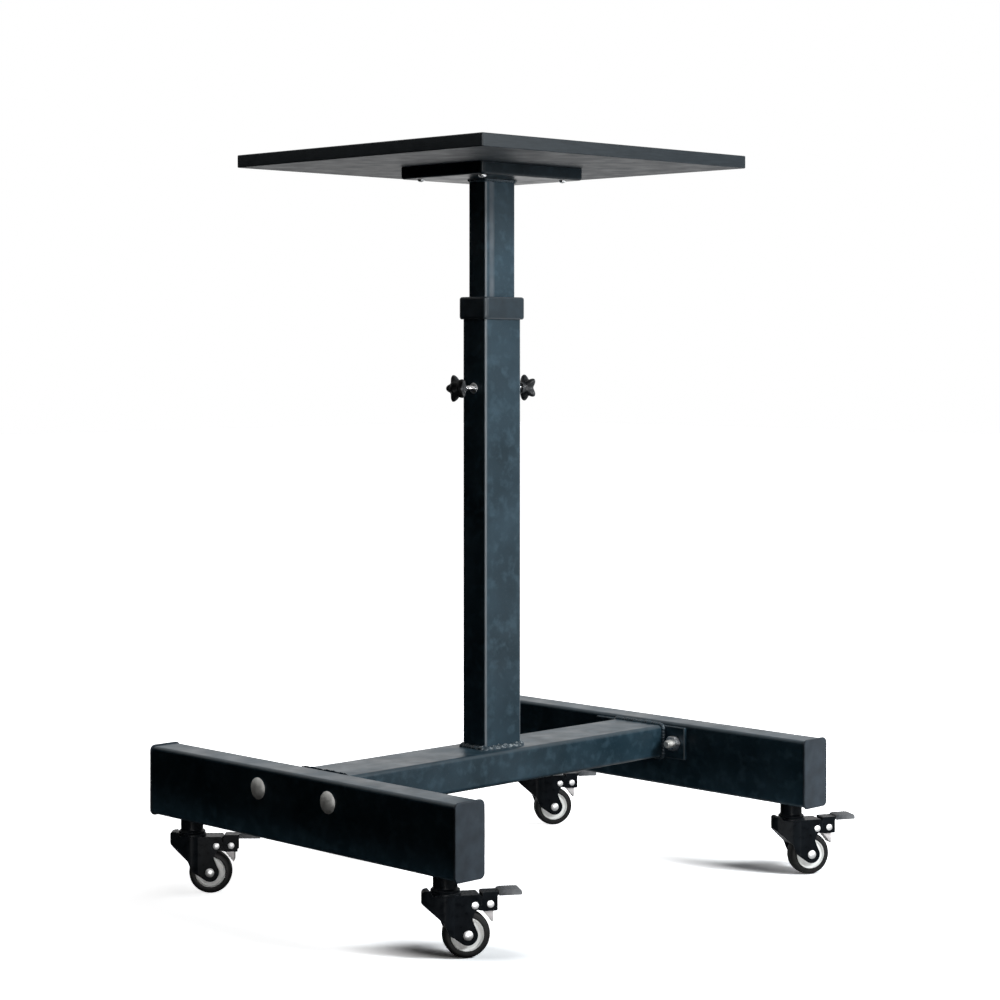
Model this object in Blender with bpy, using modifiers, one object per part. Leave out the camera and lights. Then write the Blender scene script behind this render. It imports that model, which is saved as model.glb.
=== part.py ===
"""Audio visual cart: a steel base on four braked casters, a telescoping column and a flat tabletop.

Metres, +Z up. X runs along the cross beam and Y along the legs, with the front of the cart at -Y.
The origin is on the floor, under the middle of the cart's footprint with its casters turned as they stand.
"""

import math

import bmesh
import bpy

# Fits that many pieces share
gap = 0.0003
slide_gap = 0.0004
cut_overrun = 0.004
weld_overlap = 0.0006
merge_distance = 0.00001

# Legs and their end caps
leg_spacing = 0.575
leg_length = 0.524
leg_height = 0.080
leg_width = 0.040
leg_wall = 0.002
leg_corner = 0.005
cap_thickness = 0.003
cap_plug_depth = 0.012
cap_overhang = 0.0015
cap_plug_wall = 0.002

# Cross beam and its end flanges
beam_width = 0.080
beam_height = 0.040
beam_wall = 0.002
beam_corner = 0.005
beam_drop = 0.004
flange_length = 0.150
flange_thickness = 0.005
bolt_spacing = 0.120

# Coach bolts and nuts
bolt_radius = 0.005
bolt_head_radius = 0.0123
bolt_head_height = 0.0054
bolt_neck_side = 0.010
bolt_neck_length = 0.0045
bolt_end = 0.009
bolt_clearance = 0.0004
nut_across_flats = 0.017
nut_height = 0.008

# Outer column and its foot weld
column_width = 0.060
column_depth = 0.040
column_wall = 0.002
column_corner = 0.004
column_length = 0.532
foot_weld_radius = 0.0025
weld_stand_off = 0.0007

# Collar on the column's top
collar_wall = 0.0035
collar_height = 0.0265
collar_lip = 0.002
collar_corner = 0.006

# Mast, its glide and its weld to the bracket
mast_width = 0.050
mast_depth = 0.030
mast_wall = 0.0015
mast_corner = 0.0035
mast_length = 0.485
mast_rise = 0.142
mast_weld_radius = 0.002
glide_height = 0.015
glide_plug_depth = 0.012
glide_plug_wall = 0.002

# Clamping screws and star knobs
knob_drop = 0.106
screw_radius = 0.003
screw_shown = 0.017
screw_in_knob = 0.011
screw_clearance = 0.0003
tip_radius = 0.0026
tip_length = 0.0015
press_nut_flange = 0.0065
press_nut_rim = 0.001
press_nut_barrel = 0.0047
press_nut_inside = 0.0022
knob_radius = 0.0165
knob_lobes = 5
knob_lobe_depth = 0.0055
knob_disc = 0.009
knob_hub_length = 0.005
knob_hub_radius = 0.0065
knob_crown = 0.0012

# Table bracket, its screws and the tabletop
bracket_width = 0.169
bracket_depth = 0.141
bracket_height = 0.014
bracket_sheet = 0.002
bracket_corner = 0.005
screw_inset = 0.018
spacer_radius = 0.006
table_screw_radius = 0.0025
table_screw_head = 0.0046
table_screw_head_height = 0.0028
table_screw_bite = 0.0105
table_screw_clearance = 0.0004
top_width = 0.440
top_depth = 0.420
top_thickness = 0.015
top_corner = 0.003
top_edge = 0.0012

# Casters: where they stand and how they are turned
caster_height = 0.087
caster_trail = 0.022
front_caster_inset = 0.038
rear_caster_inset = 0.054
caster_turns = {
    "left_front": math.radians(-32),
    "left_rear": math.radians(-44),
    "right_front": math.radians(-27),
    "right_rear": math.radians(-32),
}

# Caster stem, race and king pin
stem_radius = 0.005
stem_reach = 0.014
stem_neck_radius = 0.013
stem_neck_height = 0.014
race_radius = 0.0155
race_thickness = 0.0027
cup_radius = 0.0165
cup_height = 0.003
king_pin_radius = 0.004
king_pin_head = 0.0065
king_pin_head_height = 0.003
boss_radius = 0.009
boss_height = 0.009

# Caster fork
fork_plate = 0.002
fork_side_gap = 0.0013
fork_barrel = 0.015
fork_nose_radius = 0.0095
fork_nose_out = 0.016
fork_horn_height = 0.005
fork_horn_back = 0.0172
fork_horn_round = 0.0045
fork_skirt = 0.009
fork_tail = 0.0365
fork_tail_drop = 0.0068
fork_knee = -0.0035
fork_knee_height = 0.0385
fork_heel = 0.0012
fork_heel_height = 0.0268
fork_neck = 0.0262
fork_neck_height = 0.0415
fork_lobe = 0.0105
fork_corner = 0.003

# Wheel
wheel_radius = 0.025
tyre_width = 0.018
tyre_round = 0.0045
hub_radius = 0.018
hub_recess = 0.0008
hub_boss_radius = 0.008
axle_radius = 0.003
axle_head_radius = 0.005
axle_head_height = 0.0028

# Brake pedal, measured from its pivot pin
pivot_out = 0.0295
pivot_height = 0.056
pivot_pin_radius = 0.0026
rivet_head_radius = 0.0038
rivet_head_height = 0.0012
pedal_reach = 0.051
pedal_rise = 0.0145
pedal_lip = 0.006
pedal_half_width = 0.0093
pedal_wall = 0.0015
pedal_sheet = 0.002
pedal_lobe = 0.005
pedal_flange_drop = 0.007
pedal_flange_end = 0.0246
pedal_web = 0.0085
pedal_corner = 0.0025
pedal_tip_round = 0.0035
brake_rivet_out = 0.017
brake_gap = 0.0032
brake_face_tilt = math.radians(40)
brake_face_half = 0.008
brake_block_half_width = 0.0084
brake_block_back = 0.021

# Facets
corner_steps = 2
round_steps = 16
small_steps = 8
tyre_steps = 24
lobe_steps = 6
sharp_angle = math.radians(50)

# Places that follow from the sizes above
leg_top = caster_height + leg_height
beam_top = leg_top - beam_drop
bolt_z = beam_top - beam_height / 2
flange_face = leg_spacing / 2 - leg_width / 2 - gap
beam_half = flange_face - flange_thickness - gap
column_foot = beam_top + gap
column_top = column_foot + column_length
knob_z = column_top - knob_drop
bracket_base = column_top + mast_rise
table_base = bracket_base + bracket_height + gap
mast_top = bracket_base - gap
mast_foot = mast_top - mast_length
fork_inner = tyre_width / 2 + fork_side_gap
fork_outer = fork_inner + fork_plate
fork_nose = fork_nose_out + fork_nose_radius
cup_top = caster_height - stem_neck_height - race_thickness - gap
crown_top = cup_top - cup_height
crown_base = crown_top - fork_plate - weld_overlap
pedal_tip = pivot_out + pedal_reach
bolt_hole = bolt_radius + bolt_clearance
stem_hole = stem_radius + gap

# Finishes: colour, roughness, metallic
black_paint = ((0.020, 0.023, 0.028), 0.42, 0.0)
black_plastic = ((0.016, 0.017, 0.019), 0.50, 0.0)
fork_paint = ((0.012, 0.013, 0.015), 0.45, 0.0)
grey_pedal = ((0.060, 0.062, 0.065), 0.55, 0.0)
board_face = ((0.030, 0.034, 0.040), 0.45, 0.0)
zinc = ((0.62, 0.62, 0.60), 0.35, 1.0)
bright_steel = ((0.72, 0.72, 0.72), 0.25, 1.0)
tyre_rubber = ((0.018, 0.018, 0.018), 0.70, 0.0)
white_hub = ((0.82, 0.82, 0.80), 0.45, 0.0)
brass = ((0.62, 0.45, 0.20), 0.35, 1.0)


# Scene and collections
for old in list(bpy.data.objects):
    bpy.data.objects.remove(old, do_unlink=True)
parts = bpy.data.collections.new("audio_visual_cart")
cutters = bpy.data.collections.new("cutters")
bpy.context.scene.collection.children.link(parts)
bpy.context.scene.collection.children.link(cutters)


# Outlines
def rounded(points, corner, steps=corner_steps):
    """A closed outline whose corners are arcs. A point may carry its own radius as a third value."""
    outline = []
    for index, point in enumerate(points):
        radius = point[2] if len(point) > 2 else corner
        before, after = points[index - 1], points[(index + 1) % len(points)]
        into = (point[0] - before[0], point[1] - before[1])
        out = (after[0] - point[0], after[1] - point[1])
        turn = math.atan2(into[0] * out[1] - into[1] * out[0], into[0] * out[0] + into[1] * out[1])
        if radius <= 0 or abs(turn) < math.radians(8):
            outline.append((point[0], point[1]))
            continue
        setback = radius * abs(math.tan(turn / 2))
        heading = math.atan2(into[1], into[0])
        side = math.copysign(1, turn)
        start = (point[0] - setback * math.cos(heading), point[1] - setback * math.sin(heading))
        centre = (start[0] - side * radius * math.sin(heading), start[1] + side * radius * math.cos(heading))
        for step in range(steps + 1):
            angle = heading + turn * step / steps - side * math.pi / 2
            outline.append((centre[0] + radius * math.cos(angle), centre[1] + radius * math.sin(angle)))
    return outline


def rectangle(width, height, corner):
    """A rounded rectangle about the origin."""
    half_w, half_h = width / 2, height / 2
    corners = [(-half_w, -half_h), (half_w, -half_h), (half_w, half_h), (-half_w, half_h)]
    return rounded(corners, corner)


def arc(centre, radius, first, last, steps):
    """Points on an arc between two angles in degrees."""
    angles = [math.radians(first + (last - first) * step / steps) for step in range(steps + 1)]
    return [(centre[0] + radius * math.cos(a), centre[1] + radius * math.sin(a)) for a in angles]


# Solids
def joint_frame(name, parent, location, rotation=(0, 0, 0)):
    """An empty that carries the pieces of one body."""
    frame = bpy.data.objects.new(name, None)
    parts.objects.link(frame)
    frame.parent = parent
    frame.location = location
    frame.rotation_euler = rotation
    return frame


def finish(body, colour_set):
    """Give a piece its own painted, plastic or metal surface."""
    colour, roughness, metallic = colour_set
    surface = bpy.data.materials.new(body.name + "_finish")
    surface.use_nodes = True
    shader = surface.node_tree.nodes["Principled BSDF"]
    shader.inputs["Base Color"].default_value = (*colour, 1)
    shader.inputs["Roughness"].default_value = roughness
    shader.inputs["Metallic"].default_value = metallic
    surface.diffuse_color = (*colour, 1)
    body.data.materials.clear()
    body.data.materials.append(surface)
    even = body.modifiers.new("even_shading", "WEIGHTED_NORMAL")
    even.keep_sharp = True


def add_mesh(name, mesh, collection):
    body = bpy.data.objects.new(name, mesh)
    collection.objects.link(body)
    return body


def extruded(name, outlines, length, collection=parts):
    """A flat filled outline, with any holes, drawn out along its own Z and made a mesh."""
    flat = bpy.data.curves.new(name + "_outline", "CURVE")
    flat.dimensions = "2D"
    flat.fill_mode = "BOTH"
    flat.extrude = length / 2
    for outline in outlines:
        spline = flat.splines.new("POLY")
        spline.points.add(len(outline) - 1)
        for point, (x, y) in zip(spline.points, outline):
            point.co = (x, y, 0, 1)
        spline.use_cyclic_u = True
    return meshed(name, add_guide(name, flat), collection)


def add_guide(name, data):
    guide = bpy.data.objects.new(name + "_guide", data)
    cutters.objects.link(guide)
    return guide


def meshed(name, guide, collection):
    """A guide, with its modifiers, as one closed mesh with smooth rounds and sharp corners."""
    evaluated = guide.evaluated_get(bpy.context.evaluated_depsgraph_get())
    mesh = bpy.data.meshes.new_from_object(evaluated)
    bpy.data.objects.remove(guide)
    mesh.name = name
    shell = bmesh.new()
    shell.from_mesh(mesh)
    bmesh.ops.remove_doubles(shell, verts=shell.verts, dist=merge_distance)
    bmesh.ops.recalc_face_normals(shell, faces=shell.faces)
    shell.to_mesh(mesh)
    shell.free()
    mesh.shade_smooth()
    mesh.set_sharp_from_angle(angle=sharp_angle)
    return add_mesh(name, mesh, collection)


def tube(name, width, height, wall, corner, length):
    """A rectangular tube with round corners, along its own Z."""
    outer = rectangle(width, height, corner)
    inner = rectangle(width - 2 * wall, height - 2 * wall, corner - wall)
    return extruded(name, [outer, inner], length)


def cylinder(name, radius, length, steps=round_steps, collection=cutters):
    """A round rod or cutter about its own Z."""
    shell = bmesh.new()
    bmesh.ops.create_cone(
        shell, cap_ends=True, segments=steps, radius1=radius, radius2=radius, depth=length
    )
    mesh = bpy.data.meshes.new(name)
    shell.to_mesh(mesh)
    shell.free()
    mesh.shade_smooth()
    mesh.set_sharp_from_angle(angle=sharp_angle)
    return add_mesh(name, mesh, collection)


def bore(name, radius, length, steps=small_steps):
    """A cutter for a round hole whose flats stand the full radius from its axis."""
    return cylinder(name, radius / math.cos(math.pi / steps), length, steps)


def block(name, size, collection=cutters):
    """A plain box about its own middle."""
    shell = bmesh.new()
    bmesh.ops.create_cube(shell, size=1)
    bmesh.ops.scale(shell, vec=size, verts=shell.verts)
    mesh = bpy.data.meshes.new(name)
    shell.to_mesh(mesh)
    shell.free()
    return add_mesh(name, mesh, collection)


def turned(name, profile, steps=round_steps, ring=False, collection=parts):
    """A turned piece about its own Z: the profile runs down its outer side, as radius and height."""
    count = len(profile)
    edges = [(index, index + 1) for index in range(count - 1)]
    if ring:
        edges.append((count - 1, 0))
    mesh = bpy.data.meshes.new(name)
    mesh.from_pydata([(radius, 0, height) for radius, height in profile], edges, [])
    guide = add_guide(name, mesh)
    screw = guide.modifiers.new("turn", "SCREW")
    screw.axis = "Z"
    screw.steps = steps
    screw.render_steps = steps
    screw.use_merge_vertices = True
    screw.merge_threshold = merge_distance
    return meshed(name, guide, collection)


def place(body, parent, location=(0, 0, 0), rotation=(0, 0, 0)):
    body.parent = parent
    body.location = location
    body.rotation_euler = rotation
    return body


def combine(body, tool, operation):
    """Cut or join with a tool that stays hidden in the cutters' collection."""
    if tool.name in parts.objects:
        parts.objects.unlink(tool)
        cutters.objects.link(tool)
    tool.hide_render = True
    tool.display_type = "WIRE"
    change = body.modifiers.new(tool.name, "BOOLEAN")
    change.operation = operation
    change.solver = "EXACT"
    change.object = tool


def cut(body, tool):
    combine(body, tool, "DIFFERENCE")


def join(body, tool):
    combine(body, tool, "UNION")


def trim(body, tool):
    combine(body, tool, "INTERSECT")


along_x = (0, math.pi / 2, 0)
along_y = (-math.pi / 2, 0, 0)
tube_along_x = (math.pi / 2, 0, math.pi / 2)
tube_along_y = (math.pi / 2, 0, 0)


# Footprint
def caster_spots():
    """Name ends and places of the four casters, on the legs' middle lines."""
    front_y = -leg_length / 2 + front_caster_inset
    rear_y = leg_length / 2 - rear_caster_inset
    for side, x in (("left", -leg_spacing / 2), ("right", leg_spacing / 2)):
        for end, y in (("front", front_y), ("rear", rear_y)):
            yield side + "_" + end, side, x, y


def footprint_centre():
    """The middle, in plan, of everything the cart covers with its casters turned as they stand."""
    head_face = leg_spacing / 2 + leg_width / 2 + gap + bolt_head_height
    spots = [(head_face, leg_length / 2), (-head_face, -leg_length / 2)]
    for spot, leg_side, x, y in caster_spots():
        along, aside = math.cos(caster_turns[spot]), math.sin(caster_turns[spot])
        for side in (-fork_nose_radius, fork_nose_radius):
            spots.append((x - fork_nose_out * along + side, y - fork_nose_out * aside + side))
        for side in (-pedal_half_width, pedal_half_width):
            spots.append((x + pedal_tip * along - side * aside, y + pedal_tip * aside + side * along))
    across = [spot[0] for spot in spots]
    back = [spot[1] for spot in spots]
    return (min(across) + max(across)) / 2, (min(back) + max(back)) / 2


centre_x, centre_y = footprint_centre()
base = joint_frame("base_frame", None, (-centre_x, -centre_y, 0))


# Legs
def make_leg(side, x):
    """A tube on edge with two bolt holes, and a boss over each caster's hole."""
    outward = math.copysign(1, x)
    length = leg_length - 2 * cap_thickness - 2 * gap
    leg = tube(side + "_leg", leg_width, leg_height, leg_wall, leg_corner, length)
    place(leg, base, (x, 0, caster_height + leg_height / 2), tube_along_y)
    for spot, spot_side, spot_x, y in caster_spots():
        if spot_side != side:
            continue
        boss_z = caster_height + leg_wall - weld_overlap + boss_height / 2
        boss = cylinder(spot + "_boss", boss_radius, boss_height, small_steps)
        join(leg, place(boss, base, (spot_x, y, boss_z)))
        hole = bore(spot + "_stem_hole", stem_hole, boss_height + leg_wall + 2 * cut_overrun)
        cut(leg, place(hole, base, (spot_x, y, boss_z)))
    for y in (-bolt_spacing / 2, bolt_spacing / 2):
        hole = bore(side + "_bolt_hole", bolt_hole, leg_width + 2 * cut_overrun)
        cut(leg, place(hole, base, (x, y, bolt_z), along_x))
        square = bolt_neck_side + 2 * bolt_clearance
        neck_hole = block(side + "_neck_hole", (leg_wall + 2 * cut_overrun, square, square))
        cut(leg, place(neck_hole, base, (x + outward * leg_width / 2, y, bolt_z)))
    finish(leg, black_paint)
    return leg


def make_cap(side, end, x):
    """A plastic cap, a little larger than the tube, whose hollow plug sits inside its end."""
    outward = -1 if end == "front" else 1
    cap_width = leg_width + 2 * cap_overhang
    cap_height = leg_height + 2 * cap_overhang
    outline = rectangle(cap_width, cap_height, leg_corner + cap_overhang)
    cap = extruded(side + "_leg_" + end + "_cap", [outline], cap_thickness)
    face_y = outward * (leg_length / 2 - cap_thickness / 2)
    place(cap, base, (x, face_y, caster_height + leg_height / 2), tube_along_y)
    plug_width = leg_width - 2 * leg_wall - 2 * gap
    plug_height = leg_height - 2 * leg_wall - 2 * gap
    plug = tube(
        side + end + "_plug", plug_width, plug_height, cap_plug_wall, leg_corner - leg_wall, cap_plug_depth
    )
    plug_y = outward * (leg_length / 2 - cap_thickness - cap_plug_depth / 2 + weld_overlap)
    join(cap, place(plug, base, (x, plug_y, caster_height + leg_height / 2), tube_along_y))
    finish(cap, black_plastic)


for side, x in (("left", -leg_spacing / 2), ("right", leg_spacing / 2)):
    make_leg(side, x)
    for end in ("front", "rear"):
        make_cap(side, end, x)


# Cross beam and flanges
def make_beam():
    beam = tube("cross_beam", beam_width, beam_height, beam_wall, beam_corner, 2 * beam_half)
    place(beam, base, (0, 0, bolt_z), tube_along_x)
    finish(beam, black_paint)


def make_flange(side, outward):
    """A flat bar across the end of the beam, with a hole beyond each side of it."""
    flange = block(side + "_beam_flange", (flange_thickness, flange_length, beam_height), parts)
    place(flange, base, (outward * (flange_face - flange_thickness / 2), 0, bolt_z))
    for y in (-bolt_spacing / 2, bolt_spacing / 2):
        hole = bore(side + "_flange_hole", bolt_hole, flange_thickness + 2 * cut_overrun)
        cut(flange, place(hole, base, (outward * flange_face, y, bolt_z), along_x))
    finish(flange, black_paint)


# Coach bolts and nuts
def dome(radius, height, steps):
    """The profile of a shallow round head, from its crown to its rim, above zero."""
    sphere = (radius * radius + height * height) / (2 * height)
    spread = math.asin(radius / sphere)
    profile = [(0, height)]
    for step in range(1, steps + 1):
        angle = spread * step / steps
        profile.append((sphere * math.sin(angle), height - sphere * (1 - math.cos(angle))))
    return profile


def make_bolt(name, x, y, outward):
    """A coach bolt: domed head outside, square neck in the leg's wall, round shank through the flange."""
    shank = leg_width + flange_thickness + nut_height + bolt_end
    profile = dome(bolt_head_radius, bolt_head_height, lobe_steps // 2)
    chamfer = bolt_radius / 5
    profile += [(bolt_radius, 0), (bolt_radius, chamfer - shank), (bolt_radius - chamfer, -shank), (0, -shank)]
    bolt = turned(name, profile, small_steps)
    face_x = x + outward * (leg_width / 2 + gap)
    turn = (0, outward * math.pi / 2, 0)
    place(bolt, base, (face_x, y, bolt_z), turn)
    neck = block(name + "_neck", (bolt_neck_length, bolt_neck_side, bolt_neck_side))
    neck_x = face_x - outward * (bolt_neck_length / 2 - weld_overlap)
    join(bolt, place(neck, base, (neck_x, y, bolt_z)))
    finish(bolt, zinc)


def make_nut(name, y, outward):
    nut = cylinder(name, nut_across_flats / math.sqrt(3), nut_height, 6, parts)
    nut.data.shade_flat()
    nut_x = outward * (flange_face - flange_thickness - gap - nut_height / 2)
    place(nut, base, (nut_x, y, bolt_z), along_x)
    thread = bore(name + "_thread", bolt_hole, nut_height + 2 * cut_overrun)
    cut(nut, place(thread, base, (nut_x, y, bolt_z), along_x))
    finish(nut, zinc)


make_beam()
for side, outward in (("left", -1), ("right", 1)):
    make_flange(side, outward)
    for end, y in (("front", -bolt_spacing / 2), ("rear", bolt_spacing / 2)):
        make_bolt(side + "_" + end + "_leg_bolt", outward * leg_spacing / 2, y, outward)
        make_nut(side + "_" + end + "_leg_nut", y, outward)


# Outer column
def weld_bead(name, width, depth, corner, radius):
    """A round bead that runs once round a tube."""
    path = bpy.data.curves.new(name + "_path", "CURVE")
    path.dimensions = "3D"
    path.bevel_depth = radius
    path.bevel_resolution = 1
    outline = rectangle(width + 2 * weld_stand_off, depth + 2 * weld_stand_off, corner + weld_stand_off)
    spline = path.splines.new("POLY")
    spline.points.add(len(outline) - 1)
    for point, (x, y) in zip(spline.points, outline):
        point.co = (x, y, 0, 1)
    spline.use_cyclic_u = True
    return meshed(name, add_guide(name, path), cutters)


def make_column():
    """The outer tube, with its foot weld and a hole in each narrow face for a press nut."""
    column = tube("outer_column", column_width, column_depth, column_wall, column_corner, column_length)
    place(column, base, (0, 0, column_foot + column_length / 2))
    bead = weld_bead("foot_weld", column_width, column_depth, column_corner, foot_weld_radius)
    join(column, place(bead, base, (0, 0, column_foot + foot_weld_radius + gap)))
    hole = bore("press_nut_holes", press_nut_barrel + gap, column_width + 2 * cut_overrun)
    cut(column, place(hole, base, (0, 0, knob_z), along_x))
    finish(column, black_paint)


def make_collar():
    """A plastic sleeve over the tube's end: a lip across the end and a bush down between tube and mast."""
    outer_width = column_width + 2 * (collar_wall + gap)
    outer_depth = column_depth + 2 * (collar_wall + gap)
    collar = extruded("column_collar", [rectangle(outer_width, outer_depth, collar_corner)], collar_height)
    top = column_top + gap + collar_lip
    place(collar, base, (0, 0, top - collar_height / 2))
    pocket_depth = collar_height - collar_lip + cut_overrun
    seat = [
        rectangle(column_width + 2 * gap, column_depth + 2 * gap, column_corner + gap),
        rectangle(
            column_width - 2 * (column_wall + gap),
            column_depth - 2 * (column_wall + gap),
            column_corner - column_wall - gap,
        ),
    ]
    pocket = extruded("collar_pocket", seat, pocket_depth, cutters)
    cut(collar, place(pocket, base, (0, 0, column_top + gap - pocket_depth / 2)))
    opening = [rectangle(mast_width + 2 * slide_gap, mast_depth + 2 * slide_gap, mast_corner + slide_gap)]
    passage = extruded("collar_passage", opening, collar_height + 2 * cut_overrun, cutters)
    cut(collar, place(passage, base, (0, 0, top - collar_height / 2)))
    finish(collar, black_plastic)


def make_press_nut(side, outward):
    """A flanged threaded bush pressed into the column's wall."""
    thread = screw_radius + screw_clearance
    inside = -column_wall - press_nut_inside
    profile = [
        (thread, press_nut_rim),
        (press_nut_flange, press_nut_rim),
        (press_nut_flange, gap),
        (press_nut_barrel, gap),
        (press_nut_barrel, inside),
        (thread, inside),
    ]
    nut = turned(side + "_press_nut", profile, small_steps, ring=True)
    place(nut, base, (outward * column_width / 2, 0, knob_z), (0, outward * math.pi / 2, 0))
    finish(nut, zinc)


make_column()
make_collar()
for side, outward in (("left", -1), ("right", 1)):
    make_press_nut(side, outward)


# Clamping screws and star knobs, each about the axis of its screw
def star_outline():
    """Five round lobes, the first one pointing along the outline's X."""
    outline = []
    count = knob_lobes * lobe_steps
    for step in range(count):
        angle = 2 * math.pi * step / count
        swell = (1 + math.cos(knob_lobes * angle)) / 2
        radius = knob_radius - knob_lobe_depth * (1 - swell)
        outline.append((radius * math.cos(angle), radius * math.sin(angle)))
    return outline


def make_knob(side, outward):
    """Everything here is measured outwards from the column's narrow face."""
    knob_start_share = 0.74
    frame = joint_frame(
        side + "_knob_frame", base, (outward * column_width / 2, 0, knob_z), (0, outward * math.pi / 2, 0)
    )
    tip_face = (mast_width - column_width) / 2 + gap
    screw_foot = tip_face + tip_length + gap
    tip = turned(
        side + "_screw_tip",
        [(0, tip_face + tip_length), (tip_radius, tip_face + tip_length), (tip_radius, tip_face), (0, tip_face)],
        small_steps,
    )
    finish(place(tip, frame), brass)
    screw_head = screw_shown + screw_in_knob
    screw = turned(
        side + "_clamp_screw",
        [(0, screw_head), (screw_radius, screw_head), (screw_radius, screw_foot), (0, screw_foot)],
        small_steps,
    )
    finish(place(screw, frame), bright_steel)
    disc_base = screw_shown + knob_hub_length
    knob = extruded(side + "_star_knob", [star_outline()], knob_disc)
    for vertex in knob.data.vertices:
        if vertex.co.z < 0:
            vertex.co.x *= knob_start_share
            vertex.co.y *= knob_start_share
    place(knob, frame, (0, 0, disc_base + knob_disc / 2), (0, 0, math.pi / 2))
    crown = turned(
        side + "_knob_crown",
        [(0, knob_crown), (knob_hub_radius, knob_crown), (knob_radius / 2, -weld_overlap), (0, -weld_overlap)],
        round_steps,
        collection=cutters,
    )
    join(knob, place(crown, frame, (0, 0, disc_base + knob_disc)))
    hub = cylinder(side + "_knob_hub", knob_hub_radius, knob_hub_length + weld_overlap, round_steps)
    join(knob, place(hub, frame, (0, 0, screw_shown + (knob_hub_length + weld_overlap) / 2)))
    seat_depth = screw_in_knob + gap + cut_overrun
    seat = bore(side + "_knob_seat", screw_radius + screw_clearance, seat_depth)
    cut(knob, place(seat, frame, (0, 0, screw_head + gap - seat_depth / 2)))
    finish(knob, black_plastic)


for side, outward in (("left", -1), ("right", 1)):
    make_knob(side, outward)


# Mast and what it carries
mast_frame = joint_frame("mast_frame", base, (0, 0, 0))


def make_mast():
    """The inner tube, with a weld bead round its head under the bracket."""
    mast = tube("mast", mast_width, mast_depth, mast_wall, mast_corner, mast_length)
    place(mast, mast_frame, (0, 0, mast_foot + mast_length / 2))
    bead = weld_bead("head_weld", mast_width, mast_depth, mast_corner, mast_weld_radius)
    join(mast, place(bead, mast_frame, (0, 0, mast_top - mast_weld_radius - gap)))
    finish(mast, black_paint)


def make_glide():
    """A plastic block that runs in the column, with a plug up inside the mast."""
    width = column_width - 2 * column_wall - 2 * slide_gap
    depth = column_depth - 2 * column_wall - 2 * slide_gap
    glide = extruded(
        "mast_glide", [rectangle(width, depth, column_corner - column_wall)], glide_height
    )
    place(glide, mast_frame, (0, 0, mast_foot - gap - glide_height / 2))
    plug = tube(
        "glide_plug",
        mast_width - 2 * (mast_wall + gap),
        mast_depth - 2 * (mast_wall + gap),
        glide_plug_wall,
        mast_corner - mast_wall + gap,
        glide_plug_depth + gap + weld_overlap,
    )
    plug_z = mast_foot - gap - weld_overlap + (glide_plug_depth + gap + weld_overlap) / 2
    join(glide, place(plug, mast_frame, (0, 0, plug_z)))
    finish(glide, black_plastic)


def screw_places():
    """The four corners of the bracket's screw rectangle."""
    across = bracket_width / 2 - screw_inset
    along = bracket_depth / 2 - screw_inset
    for side, x in (("left", -across), ("right", across)):
        for end, y in (("front", -along), ("rear", along)):
            yield side + "_" + end, x, y


def make_bracket():
    """A shallow pan, open against the board, with a spacer in each corner for a screw."""
    outline = rectangle(bracket_width, bracket_depth, bracket_corner)
    pan = extruded("table_bracket", [outline], bracket_height)
    place(pan, mast_frame, (0, 0, bracket_base + bracket_height / 2))
    inside = rectangle(
        bracket_width - 2 * bracket_sheet, bracket_depth - 2 * bracket_sheet, bracket_corner - bracket_sheet
    )
    hollow_depth = bracket_height - bracket_sheet + cut_overrun
    hollow = extruded("bracket_hollow", [inside], hollow_depth, cutters)
    cut(pan, place(hollow, mast_frame, (0, 0, bracket_base + bracket_sheet + hollow_depth / 2)))
    for spot, x, y in screw_places():
        spacer_height = bracket_height - weld_overlap
        spacer = cylinder(spot + "_spacer", spacer_radius, spacer_height, small_steps)
        join(pan, place(spacer, mast_frame, (x, y, bracket_base + weld_overlap + spacer_height / 2)))
        hole_radius = table_screw_radius + table_screw_clearance
        hole = bore(spot + "_screw_hole", hole_radius, bracket_height + 2 * cut_overrun)
        cut(pan, place(hole, mast_frame, (x, y, bracket_base + bracket_height / 2)))
    finish(pan, black_paint)


def make_table_screw(spot, x, y):
    """A round-headed screw up through the bracket into the board."""
    head_top = bracket_base - gap
    point = table_base + table_screw_bite
    profile = [
        (0, point),
        (table_screw_radius, point - table_screw_radius),
        (table_screw_radius, head_top),
        (table_screw_head, head_top),
        (table_screw_head, head_top - table_screw_head_height / 2),
        (table_screw_head / 2, head_top - table_screw_head_height),
        (0, head_top - table_screw_head_height),
    ]
    screw = turned(spot + "_table_screw", profile, small_steps)
    finish(place(screw, mast_frame, (x, y, 0)), zinc)


def make_tabletop():
    """A board with slightly eased edges and four blind holes underneath."""
    board = extruded("tabletop", [rectangle(top_width, top_depth, top_corner)], top_thickness)
    place(board, mast_frame, (0, 0, table_base + top_thickness / 2))
    edge = board.modifiers.new("eased_edge", "BEVEL")
    edge.width = top_edge
    edge.limit_method = "ANGLE"
    edge.angle_limit = math.radians(60)
    for spot, x, y in screw_places():
        depth = table_screw_bite + table_screw_clearance + cut_overrun
        hole_radius = table_screw_radius + table_screw_clearance
        hole = bore(spot + "_board_hole", hole_radius, depth)
        hole_top = table_base + table_screw_bite + table_screw_clearance
        cut(board, place(hole, mast_frame, (x, y, hole_top - depth / 2)))
    finish(board, board_face)


make_mast()
make_glide()
make_bracket()
for spot, x, y in screw_places():
    make_table_screw(spot, x, y)
make_tabletop()


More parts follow.
